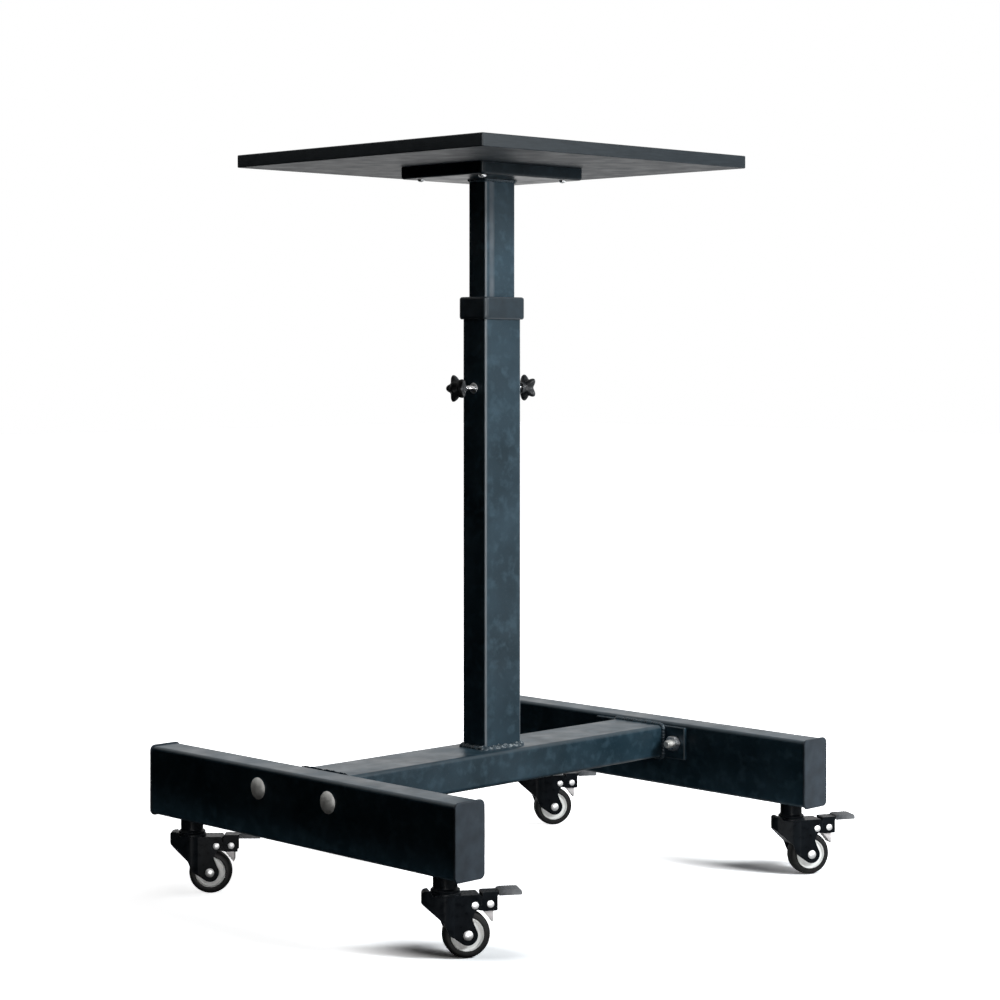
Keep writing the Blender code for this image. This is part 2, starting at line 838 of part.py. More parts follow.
# Casters: X points from the swivel axis to the wheel, Y along the axle, Z up from the floor
def make_stem(spot, parent):
    """The fixed half: threaded stem, round neck, upper race and the king pin with its head."""
    race_base = cup_top + gap
    pin_foot = crown_base - gap
    profile = [
        (0, caster_height + stem_reach),
        (stem_radius, caster_height + stem_reach),
        (stem_radius, caster_height - gap),
        (stem_neck_radius, caster_height - gap),
        (stem_neck_radius, race_base + race_thickness),
        (race_radius, race_base + race_thickness),
        (race_radius, race_base),
        (king_pin_radius, race_base),
        (king_pin_radius, pin_foot),
        (king_pin_head, pin_foot),
        (king_pin_head, pin_foot - king_pin_head_height),
        (0, pin_foot - king_pin_head_height),
    ]
    stem = turned(spot + "_caster_stem", profile, round_steps)
    finish(place(stem, parent), fork_paint)


def fork_outline():
    """The fork seen from the side, from the crown's nose round to its tail."""
    lobe = arc((caster_trail, wheel_radius), fork_lobe, 235, 395, lobe_steps)
    return rounded(
        [
            (-fork_horn_back + fork_plate, crown_top, 0),
            (-fork_horn_back, crown_top + fork_horn_height),
            (-fork_nose, crown_top + fork_horn_height, fork_horn_round),
            (-fork_nose, crown_top - fork_skirt),
            (fork_knee, fork_knee_height),
            (fork_heel, fork_heel_height),
        ]
        + [(x, z, 0) for x, z in lobe]
        + [
            (fork_neck, fork_neck_height),
            (pivot_out, pivot_height - fork_tail_drop),
            (fork_tail, pivot_height),
            (fork_tail, crown_top, 0),
        ],
        fork_corner,
        2,
    )


def fork_plan(inset=0):
    """The fork seen from above: a round nose, a barrel about the swivel axis and two flat sides."""
    nose_radius, barrel_radius, side_y = fork_nose_radius - inset, fork_barrel - inset, fork_outer - inset
    lean = math.degrees(math.acos((nose_radius - barrel_radius) / fork_nose_out))
    side = math.degrees(math.asin(side_y / barrel_radius))
    barrel = arc((0, 0), barrel_radius, side, lean, 3)
    nose = arc((-fork_nose_out, 0), nose_radius, lean, 360 - lean, lobe_steps)
    far_side = [(x, -y) for x, y in reversed(barrel)]
    tail = fork_tail + cut_overrun
    return barrel + nose[1:-1] + far_side + [(tail, -side_y), (tail, side_y)]


def fork_hollow():
    """The space between the plates, behind the closed nose and the sloping skirt below it."""
    front = -fork_nose + fork_plate
    return [
        (front, crown_base),
        (front, crown_top - fork_skirt + fork_plate / 2),
        (fork_knee, fork_knee_height + fork_plate + weld_overlap),
        (fork_knee, -cut_overrun),
        (pedal_tip, -cut_overrun),
        (pedal_tip, crown_base),
    ]


def make_fork(spot, parent):
    """A pressed steel fork with a closed nose, the lower race on its crown and the pedal's pivot pin."""
    fork = extruded(spot + "_caster_fork", [fork_outline()], 2 * (fork_barrel + fork_plate))
    place(fork, parent, (0, 0, 0), tube_along_y)
    plan = extruded(spot + "_fork_plan", [fork_plan()], 2 * caster_height, cutters)
    trim(fork, place(plan, parent))
    hollow = extruded(spot + "_fork_hollow", [fork_hollow()], 2 * (fork_barrel + fork_plate), cutters)
    inner_plan = extruded(spot + "_fork_inner_plan", [fork_plan(fork_plate)], 2 * caster_height, cutters)
    trim(hollow, place(inner_plan, parent))
    cut(fork, place(hollow, parent, (0, 0, 0), tube_along_y))
    cup = cylinder(spot + "_fork_cup", cup_radius, cup_height + weld_overlap, round_steps)
    join(fork, place(cup, parent, (0, 0, cup_top - (cup_height + weld_overlap) / 2)))
    pin_hole = bore(spot + "_king_hole", king_pin_radius + gap, cup_radius, round_steps)
    cut(fork, place(pin_hole, parent, (0, 0, crown_top)))
    axle_hole = bore(spot + "_axle_hole", axle_radius + gap, 2 * (fork_outer + cut_overrun))
    cut(fork, place(axle_hole, parent, (caster_trail, 0, wheel_radius), along_y))
    pin = cylinder(spot + "_pivot_pin", pivot_pin_radius, 2 * fork_outer, small_steps)
    join(fork, place(pin, parent, (pivot_out, 0, pivot_height), along_y))
    for side in (-1, 1):
        head_y = side * (fork_outer + (rivet_head_height - weld_overlap) / 2)
        head = cylinder(spot + "_pivot_head", rivet_head_radius, rivet_head_height + weld_overlap, small_steps)
        join(fork, place(head, parent, (pivot_out, head_y, pivot_height), along_y))
    finish(fork, fork_paint)


def make_axle(spot, parent):
    """A shouldered bolt through fork and hub, domed at both ends."""
    reach = fork_outer + gap
    head = [(radius, height + reach) for radius, height in dome(axle_head_radius, axle_head_height, 3)]
    tail = [(radius, -height) for radius, height in reversed(head)]
    profile = head + [(axle_radius, reach), (axle_radius, -reach)] + tail
    axle = turned(spot + "_caster_axle", profile, small_steps)
    finish(place(axle, parent, (caster_trail, 0, wheel_radius), along_y), bright_steel)


def make_wheel(spot, parent):
    """A black tyre moulded on a pale hub, both turned about the axle."""
    half = tyre_width / 2
    hub_bore = axle_radius + gap
    wheel = joint_frame(spot + "_wheel_frame", parent, (caster_trail, 0, wheel_radius), along_y)
    shoulder = arc((wheel_radius - tyre_round, half - tyre_round), tyre_round, 90, 0, 2)
    lower = [(radius, -height) for radius, height in reversed(shoulder)]
    tyre = turned(
        spot + "_caster_tyre",
        [(hub_radius, half)] + shoulder + lower + [(hub_radius, -half)],
        tyre_steps,
        ring=True,
    )
    finish(place(tyre, wheel), tyre_rubber)
    boss = fork_inner - gap
    face = half - hub_recess
    rim = hub_radius - gap
    hub = turned(
        spot + "_caster_hub",
        [
            (hub_bore, boss),
            (hub_boss_radius, boss),
            (hub_boss_radius, face),
            (rim, face),
            (rim, -face),
            (hub_boss_radius, -face),
            (hub_boss_radius, -boss),
            (hub_bore, -boss),
        ],
        round_steps,
        ring=True,
    )
    finish(place(hub, wheel), white_hub)


def pedal_outline():
    """The lever seen from the side, about its pivot: a lobe, a hood with a side flange, and the tread."""
    lobe = arc((0, 0), pedal_lobe, 90, 270, lobe_steps)
    hood = pedal_rise - pedal_sheet
    under = pedal_rise - pedal_lip
    return rounded(
        [(x, z, 0) for x, z in lobe]
        + [
            (pedal_web + pedal_sheet, -pedal_flange_drop),
            (pedal_flange_end, -pedal_flange_drop),
            (pedal_flange_end, under),
            (pedal_reach, under),
            (pedal_reach, pedal_rise, pedal_tip_round),
            (pedal_flange_end + pedal_corner, pedal_rise - pedal_sheet / 4),
            (pedal_flange_end, hood),
            (pedal_web, hood),
            (pedal_web, pedal_lobe),
        ],
        pedal_corner / 2,
        2,
    )


def pedal_hollow():
    """The channel under the sheet, between the lever's two sides."""
    hood = pedal_rise - 2 * pedal_sheet
    floor = -pedal_flange_drop - cut_overrun
    return [
        (-pedal_lobe - cut_overrun, floor),
        (-pedal_lobe - cut_overrun, pedal_lobe - pedal_sheet),
        (pedal_web + pedal_sheet, pedal_lobe - pedal_sheet),
        (pedal_web + pedal_sheet, hood),
        (pedal_flange_end, hood),
        (pedal_reach - 2 * pedal_corner, pedal_rise - pedal_sheet),
        (pedal_reach - pedal_sheet, pedal_rise - pedal_corner - pedal_sheet),
        (pedal_reach - pedal_sheet, floor),
    ]


def brake_block_outline():
    """The block under the lever, its flat face square to the tyre."""
    reach = wheel_radius + brake_gap
    middle_x = caster_trail - pivot_out + reach * math.cos(brake_face_tilt)
    middle_z = wheel_radius - pivot_height + reach * math.sin(brake_face_tilt)
    across = brake_face_half * math.sin(brake_face_tilt)
    rise = brake_face_half * math.cos(brake_face_tilt)
    top = -pedal_flange_drop + pedal_sheet
    return [
        (middle_x + across, middle_z - rise),
        (middle_x - across, middle_z + rise),
        (pedal_web, top),
        (brake_block_back, top),
        (brake_block_back, middle_z - rise),
    ]


def make_pedal(spot, parent):
    """A stamped lever whose sides hang on the pivot pin inside the fork, with its brake block."""
    pedal_frame = joint_frame(spot + "_pedal_frame", parent, (pivot_out, 0, pivot_height))
    pedal = extruded(spot + "_brake_pedal", [pedal_outline()], 2 * pedal_half_width)
    place(pedal, pedal_frame, (0, 0, 0), tube_along_y)
    inner = pedal_half_width - pedal_wall
    hollow = extruded(spot + "_pedal_hollow", [pedal_hollow()], 2 * inner, cutters)
    cut(pedal, place(hollow, pedal_frame, (0, 0, 0), tube_along_y))
    brake = extruded(
        spot + "_brake_block", [brake_block_outline()], 2 * brake_block_half_width, cutters
    )
    join(pedal, place(brake, pedal_frame, (0, 0, 0), tube_along_y))
    pin_hole = bore(spot + "_pin_hole", pivot_pin_radius + gap, 2 * (fork_outer + cut_overrun))
    cut(pedal, place(pin_hole, pedal_frame, (0, 0, 0), along_y))
    rivet_length = 2 * (pedal_half_width + rivet_head_height)
    rivet = cylinder(spot + "_brake_rivet", rivet_head_radius, rivet_length, small_steps)
    join(pedal, place(rivet, pedal_frame, (brake_rivet_out, 0, 0), along_y))
    finish(pedal, grey_pedal)


for spot, side, x, y in caster_spots():
    caster = joint_frame(spot + "_caster_frame", base, (x, y, 0), (0, 0, caster_turns[spot]))
    make_stem(spot, caster)
    make_fork(spot, caster)
    make_axle(spot, caster)
    make_wheel(spot, caster)
    make_pedal(spot, caster)
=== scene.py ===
from math import acos, asin, atan2, copysign, cos, degrees, hypot, pi, radians, sin, tan, tau

import bmesh
import bpy
from mathutils import Matrix, Vector


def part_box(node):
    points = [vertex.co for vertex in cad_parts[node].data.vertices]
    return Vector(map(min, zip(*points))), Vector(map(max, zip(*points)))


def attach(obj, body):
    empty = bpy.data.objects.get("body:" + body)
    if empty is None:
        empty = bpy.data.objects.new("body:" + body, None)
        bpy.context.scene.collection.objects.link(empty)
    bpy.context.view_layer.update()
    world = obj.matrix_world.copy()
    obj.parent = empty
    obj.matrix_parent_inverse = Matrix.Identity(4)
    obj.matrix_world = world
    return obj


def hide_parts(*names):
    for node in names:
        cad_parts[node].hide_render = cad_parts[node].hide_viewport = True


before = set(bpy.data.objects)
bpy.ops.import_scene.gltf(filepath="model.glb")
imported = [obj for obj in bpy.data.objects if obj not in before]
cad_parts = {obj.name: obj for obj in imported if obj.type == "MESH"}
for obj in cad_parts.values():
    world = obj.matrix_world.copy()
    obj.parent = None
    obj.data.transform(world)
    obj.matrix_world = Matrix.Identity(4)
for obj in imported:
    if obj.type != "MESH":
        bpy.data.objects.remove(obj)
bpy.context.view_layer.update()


# The two side legs: 80 by 40 mm steel tube stood on edge, 2 mm wall, cut square and powder coated
# satin black. Everything else in the base is bolted to them or stands under them.
leg_wide, leg_high, leg_corner, leg_wall = 0.04, 0.08, 0.005, 0.002


def tube_outline(wide, deep, corner, arc_steps=8):
    """The points round a rectangle with round corners, all the way round."""
    points = []
    for quarter, (right, back) in enumerate(((1, 1), (-1, 1), (-1, -1), (1, -1))):
        for step in range(arc_steps + 1):
            turn = radians(90 * quarter + 90 * step / arc_steps)
            points.append((
                right * (wide / 2 - corner) + corner * cos(turn),
                back * (deep / 2 - corner) + corner * sin(turn),
            ))
    return points


def in_scene(name, data):
    """A new object for a mesh, a lamp or a camera, put in the scene."""
    thing = bpy.data.objects.new(name, data)
    bpy.context.scene.collection.objects.link(thing)
    return thing


def meshed(name, faces):
    """The piece that a set of faces makes."""
    mesh = bpy.data.meshes.new(name)
    faces.to_mesh(mesh)
    faces.free()
    return in_scene(name, mesh)


def skin(name, loops, joined_round=False):
    """A closed skin laid through loops of equal count, its two ends filled or joined to each other."""
    sheet = bmesh.new()
    rows = [[sheet.verts.new(point) for point in loop] for loop in loops]
    next_rows = rows[1:] + rows[:1] if joined_round else rows[1:]
    for lower, upper in zip(rows, next_rows):
        for here in range(len(lower)):
            there = (here + 1) % len(lower)
            sheet.faces.new((lower[here], lower[there], upper[there], upper[here]))
    if not joined_round:
        sheet.faces.new(rows[0][::-1])
        sheet.faces.new(rows[-1])
    bmesh.ops.recalc_face_normals(sheet, faces=sheet.faces)
    return meshed(name, sheet)


def moulding(name, wide, deep, corner, section, joined_round=True):
    """A section carried round a tube: each of its points is how far out from the tube it stands, how
    high, and sometimes its own corner radius."""
    loops = []
    for point in section:
        out, height = point[:2]
        own_corner = point[2] if len(point) > 2 else max(corner + out, 0.0003)
        outline = tube_outline(wide + 2 * out, deep + 2 * out, own_corner)
        loops.append([(x, y, height) for x, y in outline])
    return skin(name, loops, joined_round)


def sawn_tube(name, wide, deep, corner, wall, length):
    """A rectangular tube about its own Z, with the sharpness just taken off its sawn ends."""
    half, burr = length / 2, 0.0003
    section = [
        (0, burr - half), (0, half - burr), (-burr, half), (burr - wall, half),
        (-wall, half - burr), (-wall, burr - half), (burr - wall, -half), (-burr, -half),
    ]
    return moulding(name, wide, deep, corner, section)


def even_shading(piece, crease=32):
    """Round faces shaded smooth, and corners sharper than the crease left crisp."""
    piece.data.shade_smooth()
    piece.data.set_sharp_from_angle(angle=radians(crease))
    evening = piece.modifiers.new("even_shading", "WEIGHTED_NORMAL")
    evening.keep_sharp = True


def fit(piece, finish, slot, body, nodes=(), at=(0, 0, 0), turn=(0, 0, 0)):
    """Give a piece its finish, and set it on the body that carries it, in the stead of its CAD nodes."""
    even_shading(piece)
    if not piece.data.materials:
        piece.data.materials.append(finish)
    piece.location = at
    piece.rotation_euler = turn
    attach(piece, body)
    if nodes:
        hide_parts(*nodes)
    return piece


def blank_finish(name):
    """A new finish with its shader, and the place on the piece that its grain is laid by."""
    finish = bpy.data.materials.new(name)
    finish.use_nodes = True
    tree = finish.node_tree
    return finish, tree, tree.nodes["Principled BSDF"], tree.nodes.new("ShaderNodeTexCoord").outputs["Object"]


def fed(tree, node, inputs):
    """Set a shader node's inputs, given as numbers or as other nodes' outputs."""
    for socket, value in inputs.items():
        if isinstance(value, bpy.types.NodeSocket):
            tree.links.new(value, node.inputs[socket])
        else:
            node.inputs[socket].default_value = value
    return node


def node_in(tree, kind, inputs=(), **settings):
    """A new shader node with its settings and its inputs."""
    node = tree.nodes.new("ShaderNode" + kind)
    for setting, value in settings.items():
        setattr(node, setting, value)
    return fed(tree, node, dict(inputs))


def reckoned(tree, how, *values):
    """Arithmetic on numbers and on other nodes' outputs."""
    return node_in(tree, "Math", dict(enumerate(values)), operation=how).outputs[0]


def spread(tree, value, low, high, from_low=0.3, from_high=0.7):
    """The value laid out again between two new limits."""
    limits = {"Value": value, "From Min": from_low, "From Max": from_high, "To Min": low, "To Max": high}
    return node_in(tree, "MapRange", limits).outputs["Result"]


def blended(tree, share, first, second):
    """One colour turning into another by a share."""
    first, second = ((*tone, 1) if isinstance(tone, tuple) else tone for tone in (first, second))
    return node_in(tree, "Mix", {0: share, 6: first, 7: second}, data_type="RGBA").outputs[2]


def blotches(tree, where, across, detail, stretch=(1, 1, 1)):
    """Soft noise with patches about so many metres across, which may be stretched along an axis."""
    if stretch != (1, 1, 1):
        where = node_in(tree, "Mapping", {"Vector": where, "Scale": stretch}).outputs[0]
    return node_in(tree, "TexNoise", {"Scale": 1 / across, "Detail": detail, "Vector": where}).outputs[0]


# How a layer of a finish lies on a piece: each of the next four gives a share for every point of it.
def patches(across, detail, low=0, high=1, from_low=0.3, from_high=0.7, stretch=(1, 1, 1)):
    """Soft patches about so many metres across."""
    def share(tree, where):
        return spread(tree, blotches(tree, where, across, detail, stretch), low, high, from_low, from_high)
    return share


def edges(reach, worn):
    """Nothing on a flat face, rising on an edge, where handling thins or polishes a finish."""
    def share(tree, where):
        bevel = node_in(tree, "Bevel", {"Radius": reach}, samples=4).outputs["Normal"]
        face = node_in(tree, "NewGeometry").outputs["Normal"]
        meet = node_in(tree, "VectorMath", {0: bevel, 1: face}, operation="DOT_PRODUCT").outputs["Value"]
        much = worn(tree, where) if callable(worn) else worn
        return reckoned(tree, "MULTIPLY", spread(tree, meet, 1, 0, 0.86, 0.995), much)
    return share


def painted_bend_highlight(most):
    """The share of a painted highlight: nothing on a flat face, rising to the most in the middle of a tube's
    round corner.
    """
    def share(tree, where):
        face = node_in(tree, "NewGeometry").outputs["Normal"]
        sizes = [reckoned(tree, "ABSOLUTE", axis) for axis in node_in(tree, "SeparateXYZ", {0: face}).outputs]
        widest = reckoned(tree, "MAXIMUM", reckoned(tree, "MAXIMUM", sizes[0], sizes[1]), sizes[2])
        return reckoned(tree, "MULTIPLY", spread(tree, widest, 1, 0, 0.78, 0.985), most)
    return share


def highlight_streak(aside):
    """A painted highlight streak up a tube, so far aside of its middle, stronger in some lengths than in
    others.
    """
    def share(tree, where):
        place = node_in(tree, "SeparateXYZ", {0: where}).outputs["X"]
        reach = reckoned(tree, "ABSOLUTE", reckoned(tree, "SUBTRACT", place, aside))
        broken = patches(0.05, 3, 0.15, 1)(tree, where)
        line = reckoned(tree, "MULTIPLY", spread(tree, reach, 1, 0, 0.0018, 0.0055), broken)
        return reckoned(tree, "MULTIPLY", line, 0.75)
    return share


def finished(name, ground, layers, rough, relief, gloss=0.5, metallic=0):
    """A finish laid up from a ground colour and layers of (share, colour), rough in patches. Its
    relief is the width and detail of its grain, its depth in metres, its strength and its stretch."""
    finish, tree, shader, where = blank_finish(name)
    tone = ground
    for share, colour in layers:
        tone = blended(tree, share(tree, where), tone, colour)
    across, detail, depth, strength, *stretch = relief
    grain = blotches(tree, where, across, detail, *stretch)
    bump = node_in(tree, "Bump", {"Strength": strength, "Distance": depth, "Height": grain}).outputs["Normal"]
    fed(tree, shader, {"Base Color": tone, "Roughness": rough(tree, where), "Specular IOR Level": gloss,
                       "Metallic": metallic, "Normal": bump})
    return finish


def powder_coat(name, shade=1, bend_highlight=(0.07, 0.09, 0.104), bend_highlight_share=0.5, glint_share=0, streak_aside=None):
    """Satin black powder coat: a blue-black film with a fine orange peel, cloudy where it lies thicker,
    with a painted highlight on the bends, and if asked painted glints in spots or a painted highlight
    streak. Its shade scales every colour, for a lighter or darker copy painted for how the light falls."""
    thin, thick, patch, speck = (tuple(shade * channel for channel in tone) for tone in (
        (0.0085, 0.024, 0.035), (0.025, 0.052, 0.073), (0.038, 0.072, 0.097), (0.042, 0.066, 0.084)))
    # Its layers: cloudy patches, specks, a painted highlight on the round corners, and worn pale edges.
    layers = [
        (patches(0.06, 4), thick), (patches(0.014, 3, 0, 0.8, 0.5, 0.7), patch),
        (patches(0.0022, 1, 0, 0.35, 0.62, 0.75), speck), (painted_bend_highlight(bend_highlight_share), bend_highlight),
        (edges(0.0012, patches(0.016, 2, 0, 0.45)), (0.13, 0.15, 0.165)),
    ]
    # A painted highlight streak up one side, where one is asked for.
    if streak_aside is not None:
        layers.append((highlight_streak(streak_aside), (0.165, 0.185, 0.205)))
    # Pale spots painted on as glints, where a share of them is given.
    if glint_share:
        layers.append((patches(0.0045, 2, 0, glint_share, 0.5, 0.62), (0.42, 0.46, 0.48)))
    return finished(name, thin, layers, patches(0.035, 3, 0.28, 0.43), (0.0013, 1, 0.00004, 0.5),
                    0.2 * min(1, shade + 0.2))


def foot_of(low, high):
    """The middle of the underside of a box."""
    return Vector(((low.x + high.x) / 2, (low.y + high.y) / 2, low.z))


powder = powder_coat("powder_coat")
column_low, column_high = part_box("outer_column")
cart = foot_of(column_low, column_high)
cart.z = 0
along_y = (pi / 2, 0, 0)

sides = (("left", -1), ("right", 1))
for side, _ in sides:
    low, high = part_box(side + "_leg")
    leg = sawn_tube("side_leg_" + side, leg_wide, leg_high, leg_corner, leg_wall, high.y - low.y)
    fit(leg, powder, "black_paint", "base", [side + "_leg"], (low + high) / 2, along_y)


# The four leg caps: moulded black plastic, a 3 mm face whose eased rim stands a little proud of the
# tube, on a plug that is pushed in until the face meets the sawn end.
cap_face, cap_plug, cap_slack = 0.003, 0.012, 0.0003


def moulded_plastic(name, colour, rough, grain=0.0007, bend_highlight=None):
    """A moulded plastic with a fine spark grain, a little shinier where it is rubbed, with a painted highlight
    on the bends if given.
    """
    cloud, rubbed = (tuple(channel * gain + more for channel in colour)
                     for gain, more in ((1.8, 0.002), (3, 0.012)))
    layers = [(patches(0.018, 3), cloud)]
    # A painted highlight on the round corners, where a colour is given for it.
    if bend_highlight:
        layers.append((painted_bend_highlight(0.7), bend_highlight))
    layers.append((edges(0.0008, patches(0.009, 2, 0.1, 0.5)), rubbed))
    return finished(name, colour, layers, patches(0.012, 3, rough - 0.06, rough + 0.06),
                    (grain, 1, 0.00005, 0.45), 0.22)


cap_plastic = moulded_plastic("cap_plastic", (0.017, 0.024, 0.032), 0.45)
for side, _ in sides:
    for end, outward in (("front", -1), ("rear", 1)):
        node = f"{side}_leg_{end}_cap"
        low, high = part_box(node)
        inner = -leg_wall - cap_slack
        section = [
            (inner - 0.001, -cap_plug), (inner, 0.0015 - cap_plug), (inner, 0), (0.0012, 0), (0.0015, 0.0004),
            (0.0015, 0.0016), (0.0013, 0.0022), (0.0009, 0.0027), (0.0003, 0.0029), (-0.0006, cap_face),
        ]
        cap = moulding(f"leg_cap_{side}_{end}", leg_wide, leg_high, leg_corner, section, False)
        back_y = high.y - cap_face if outward > 0 else low.y + cap_face
        place = ((low.x + high.x) / 2, back_y, (low.z + high.z) / 2)
        fit(cap, cap_plastic, "black_plastic", "base", [node], place, (-outward * pi / 2, 0, 0))


# The cross beam: 80 by 40 mm tube laid flat between the legs, with a 5 mm flat bar welded across
# each end. A MIG bead runs round the tube on both bars, and the whole is coated after welding.
beam_deep, beam_high, beam_corner, beam_wall = 0.08, 0.04, 0.005, 0.002
bar_long, bar_thick = 0.15, 0.005
outward_turn = {"left": (0, -pi / 2, 0), "right": (0, pi / 2, 0)}
inward_turn = {"left": (0, pi / 2, 0), "right": (0, -pi / 2, 0)}


def weld_run(name, wide, deep, corner, size):
    """A fillet of weld round a tube on a plate at Z nought, laid down in overlapping ripples."""
    path = tube_outline(wide, deep, corner, 6)
    path.append(path[0])
    ripple, under = 0.0038, 0.0004
    spots, run = [], 0
    for (x, y), (next_x, next_y) in zip(path, path[1:]):
        reach = hypot(next_x - x, next_y - y)
        if reach < 0.00001:
            continue
        pieces = max(1, round(reach / 0.0007))
        for step in range(pieces):
            share = step / pieces
            spots.append((x + (next_x - x) * share, y + (next_y - y) * share, run + reach * share))
        run += reach
    loops = []
    for index, (x, y, length) in enumerate(spots):
        before, after = spots[index - 1], spots[(index + 1) % len(spots)]
        ahead = Vector((after[0] - before[0], after[1] - before[1])).normalized()
        out = Vector((ahead.y, -ahead.x))
        scallop = abs(sin(pi * length / ripple))
        wander = sin(length * 210 + 1.3) + sin(length * 530 + 0.4)
        bead = size * (0.74 + 0.18 * scallop + 0.08 * wander)
        loop = [(x - out.x * under, y - out.y * under, 0)]
        for step in range(6):
            angle = radians(90 * step / 5)
            stand = bead * cos(angle)
            loop.append((x + out.x * stand, y + out.y * stand, bead * sin(angle)))
        loop.append((x - out.x * under, y - out.y * under, bead))
        loops.append(loop)
    return skin(name, loops, True)


low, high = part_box("cross_beam")
beam = sawn_tube("base_cross_beam", beam_high, beam_deep, beam_corner, beam_wall, high.x - low.x)
fit(beam, powder, "black_paint", "base", ["cross_beam"], (low + high) / 2, outward_turn["right"])
beam_z = (low.z + high.z) / 2
for side, outward in sides:
    low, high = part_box(side + "_beam_flange")
    half, ease = bar_thick / 2, 0.0008
    section = [(-ease, -half), (0, ease - half), (0, half - ease), (-ease, half)]
    bar = moulding("end_bar_" + side, beam_high, bar_long, 0.0012, section, False)
    fit(bar, powder, "black_paint", "base", [side + "_beam_flange"], (low + high) / 2, outward_turn[side])
    inner_x = low.x if outward > 0 else high.x
    bead = weld_run("beam_weld_" + side, beam_high, beam_deep, beam_corner, 0.0038)
    fit(bead, powder, "black_paint", "base", (), (inner_x, cart.y, beam_z), inward_turn[side])


# Four coach bolts hold the legs to the beam's bars: M10, zinc plated, with a domed head outside. The
# thread's end stands out of a chamfered nut on the inside.
bolt_crest, bolt_pitch, dome_wide, dome_high = 0.005, 0.0015, 0.0123, 0.0054
nut_across, nut_hole = 0.017, 0.0049


def ring_of(radius, height, steps=48):
    angles = [tau * step / steps for step in range(steps)]
    return [(radius * cos(angle), radius * sin(angle), height) for angle in angles]


def turned(name, section, joined_round=False, steps=48):
    """A piece turned about Z, from the radius and height of each point of its section."""
    return skin(name, [ring_of(*point, steps) for point in section], joined_round)


def thread_rings(crest, pitch, bottom, top):
    """A cut thread between two heights, listed from the top down, running out at both ends."""
    rings, steps = [], 48
    count = round((top - bottom) / pitch * 6)
    for index in range(count + 1):
        height = top - (top - bottom) * index / count
        fade = min(1, (top - height) / pitch + 0.05, (height - bottom) / pitch + 0.05)
        ring = []
        for step in range(steps):
            angle = tau * step / steps
            phase = (height / pitch - step / steps) % 1
            cut = 0.6 * pitch * min(1, 1.25 * (1 - abs(2 * phase - 1))) * fade
            ring.append(((crest - cut) * cos(angle), (crest - cut) * sin(angle), height))
        rings.append(ring)
    return rings


def dome_rings(wide, high, base=0, steps=48):
    """A shallow round head from near its middle out to its rim, standing on the base height."""
    ball = (wide * wide + high * high) / (2 * high)
    spread_angle = asin(wide / ball)
    rings = []
    for step in range(1, 13):
        angle = spread_angle * step / 12
        rings.append(ring_of(ball * sin(angle), base + high - ball * (1 - cos(angle)), steps))
    return rings


def bright_zinc(name, tone=(0.66, 0.67, 0.68), rough=0.3):
    """Zinc plate: pale grey metal with a faint spangle and a dull bloom in patches."""
    bloom = tuple(channel * 0.78 for channel in tone)
    return finished(name, tone, [(patches(0.006, 3), bloom), (edges(0.0005, 0.6), (0.85, 0.85, 0.84))],
                    patches(0.003, 3, rough - 0.08, rough + 0.12), (0.0006, 2, 0.00003, 0.35), metallic=1)


def hexagon_rings(across_flats, high, hole):
    """A nut's skin: hexagonal sides, both faces turned down to a circle, and a plain hole."""
    flat, half = across_flats / 2, high / 2
    circle = flat * 0.94
    rings, steps = [[] for _ in range(6)], 72
    for step in range(steps):
        angle = tau * step / steps
        facing = (angle + pi / 6) % (pi / 3) - pi / 6
        reach = flat / cos(facing)
        edge = half - (reach - circle) * tan(radians(30))
        for ring, (radius, height) in zip(rings, (
            (hole, -half), (circle, -half), (reach, -edge), (reach, edge), (circle, half), (hole, half),
        )):
            ring.append((radius * cos(angle), radius * sin(angle), height))
    return rings


zinc = bright_zinc("zinc_plate")
bolt_zinc = bright_zinc("bolt_zinc", (0.54, 0.54, 0.52), 0.52)
for side, outward in sides:
    for end in ("front", "rear"):
        node = f"{side}_{end}_leg_bolt"
        low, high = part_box(node)
        face_x = high.x - dome_high if outward > 0 else low.x + dome_high
        end_z = -(high.x - low.x - dome_high)
        rings = dome_rings(dome_wide, dome_high * 0.86, dome_high * 0.14)
        rings += [ring_of(dome_wide, dome_high * 0.06), ring_of(dome_wide - 0.0004, 0)]
        rings += [ring_of(bolt_crest, -0.0001), ring_of(bolt_crest, -0.04)]
        rings += thread_rings(bolt_crest, bolt_pitch, end_z + 0.001, -0.0405)
        rings += [ring_of(bolt_crest * 0.84, end_z + 0.0008), ring_of(bolt_crest * 0.72, end_z)]
        bolt = skin(f"coach_bolt_{side}_{end}", rings)
        place = (face_x, (low.y + high.y) / 2, (low.z + high.z) / 2)
        fit(bolt, bolt_zinc, "zinc", "base", [node], place, outward_turn[side])
        node = f"{side}_{end}_leg_nut"
        low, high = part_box(node)
        nut = skin(f"coach_nut_{side}_{end}", hexagon_rings(nut_across, high.x - low.x, nut_hole), True)
        fit(nut, zinc, "zinc", "base", [node], (low + high) / 2, outward_turn[side])


# The outer column: 60 by 40 mm tube, welded upright on the middle of the beam. A hole through each
# narrow side, near the top, takes the threaded bush of a clamping screw.
column_wide, column_deep, column_corner, column_wall = 0.06, 0.04, 0.004, 0.002
column_foot = beam_z + beam_high / 2
column_top = column_high.z
low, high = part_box("left_clamp_screw")
knob_z = (low.z + high.z) / 2


def worked(piece, tool, how="DIFFERENCE"):
    """Cut, join or trim a piece with a tool that is then put away."""
    change = piece.modifiers.new("work", "BOOLEAN")
    change.operation = how
    change.solver = "EXACT"
    change.object = tool
    result = piece.evaluated_get(bpy.context.evaluated_depsgraph_get())
    mesh = bpy.data.meshes.new_from_object(result)
    piece.modifiers.remove(change)
    piece.data = mesh
    bpy.data.objects.remove(tool)
    return piece


def rod(name, radius, length):
    return turned(name, [(radius, -length / 2), (radius, length / 2)])


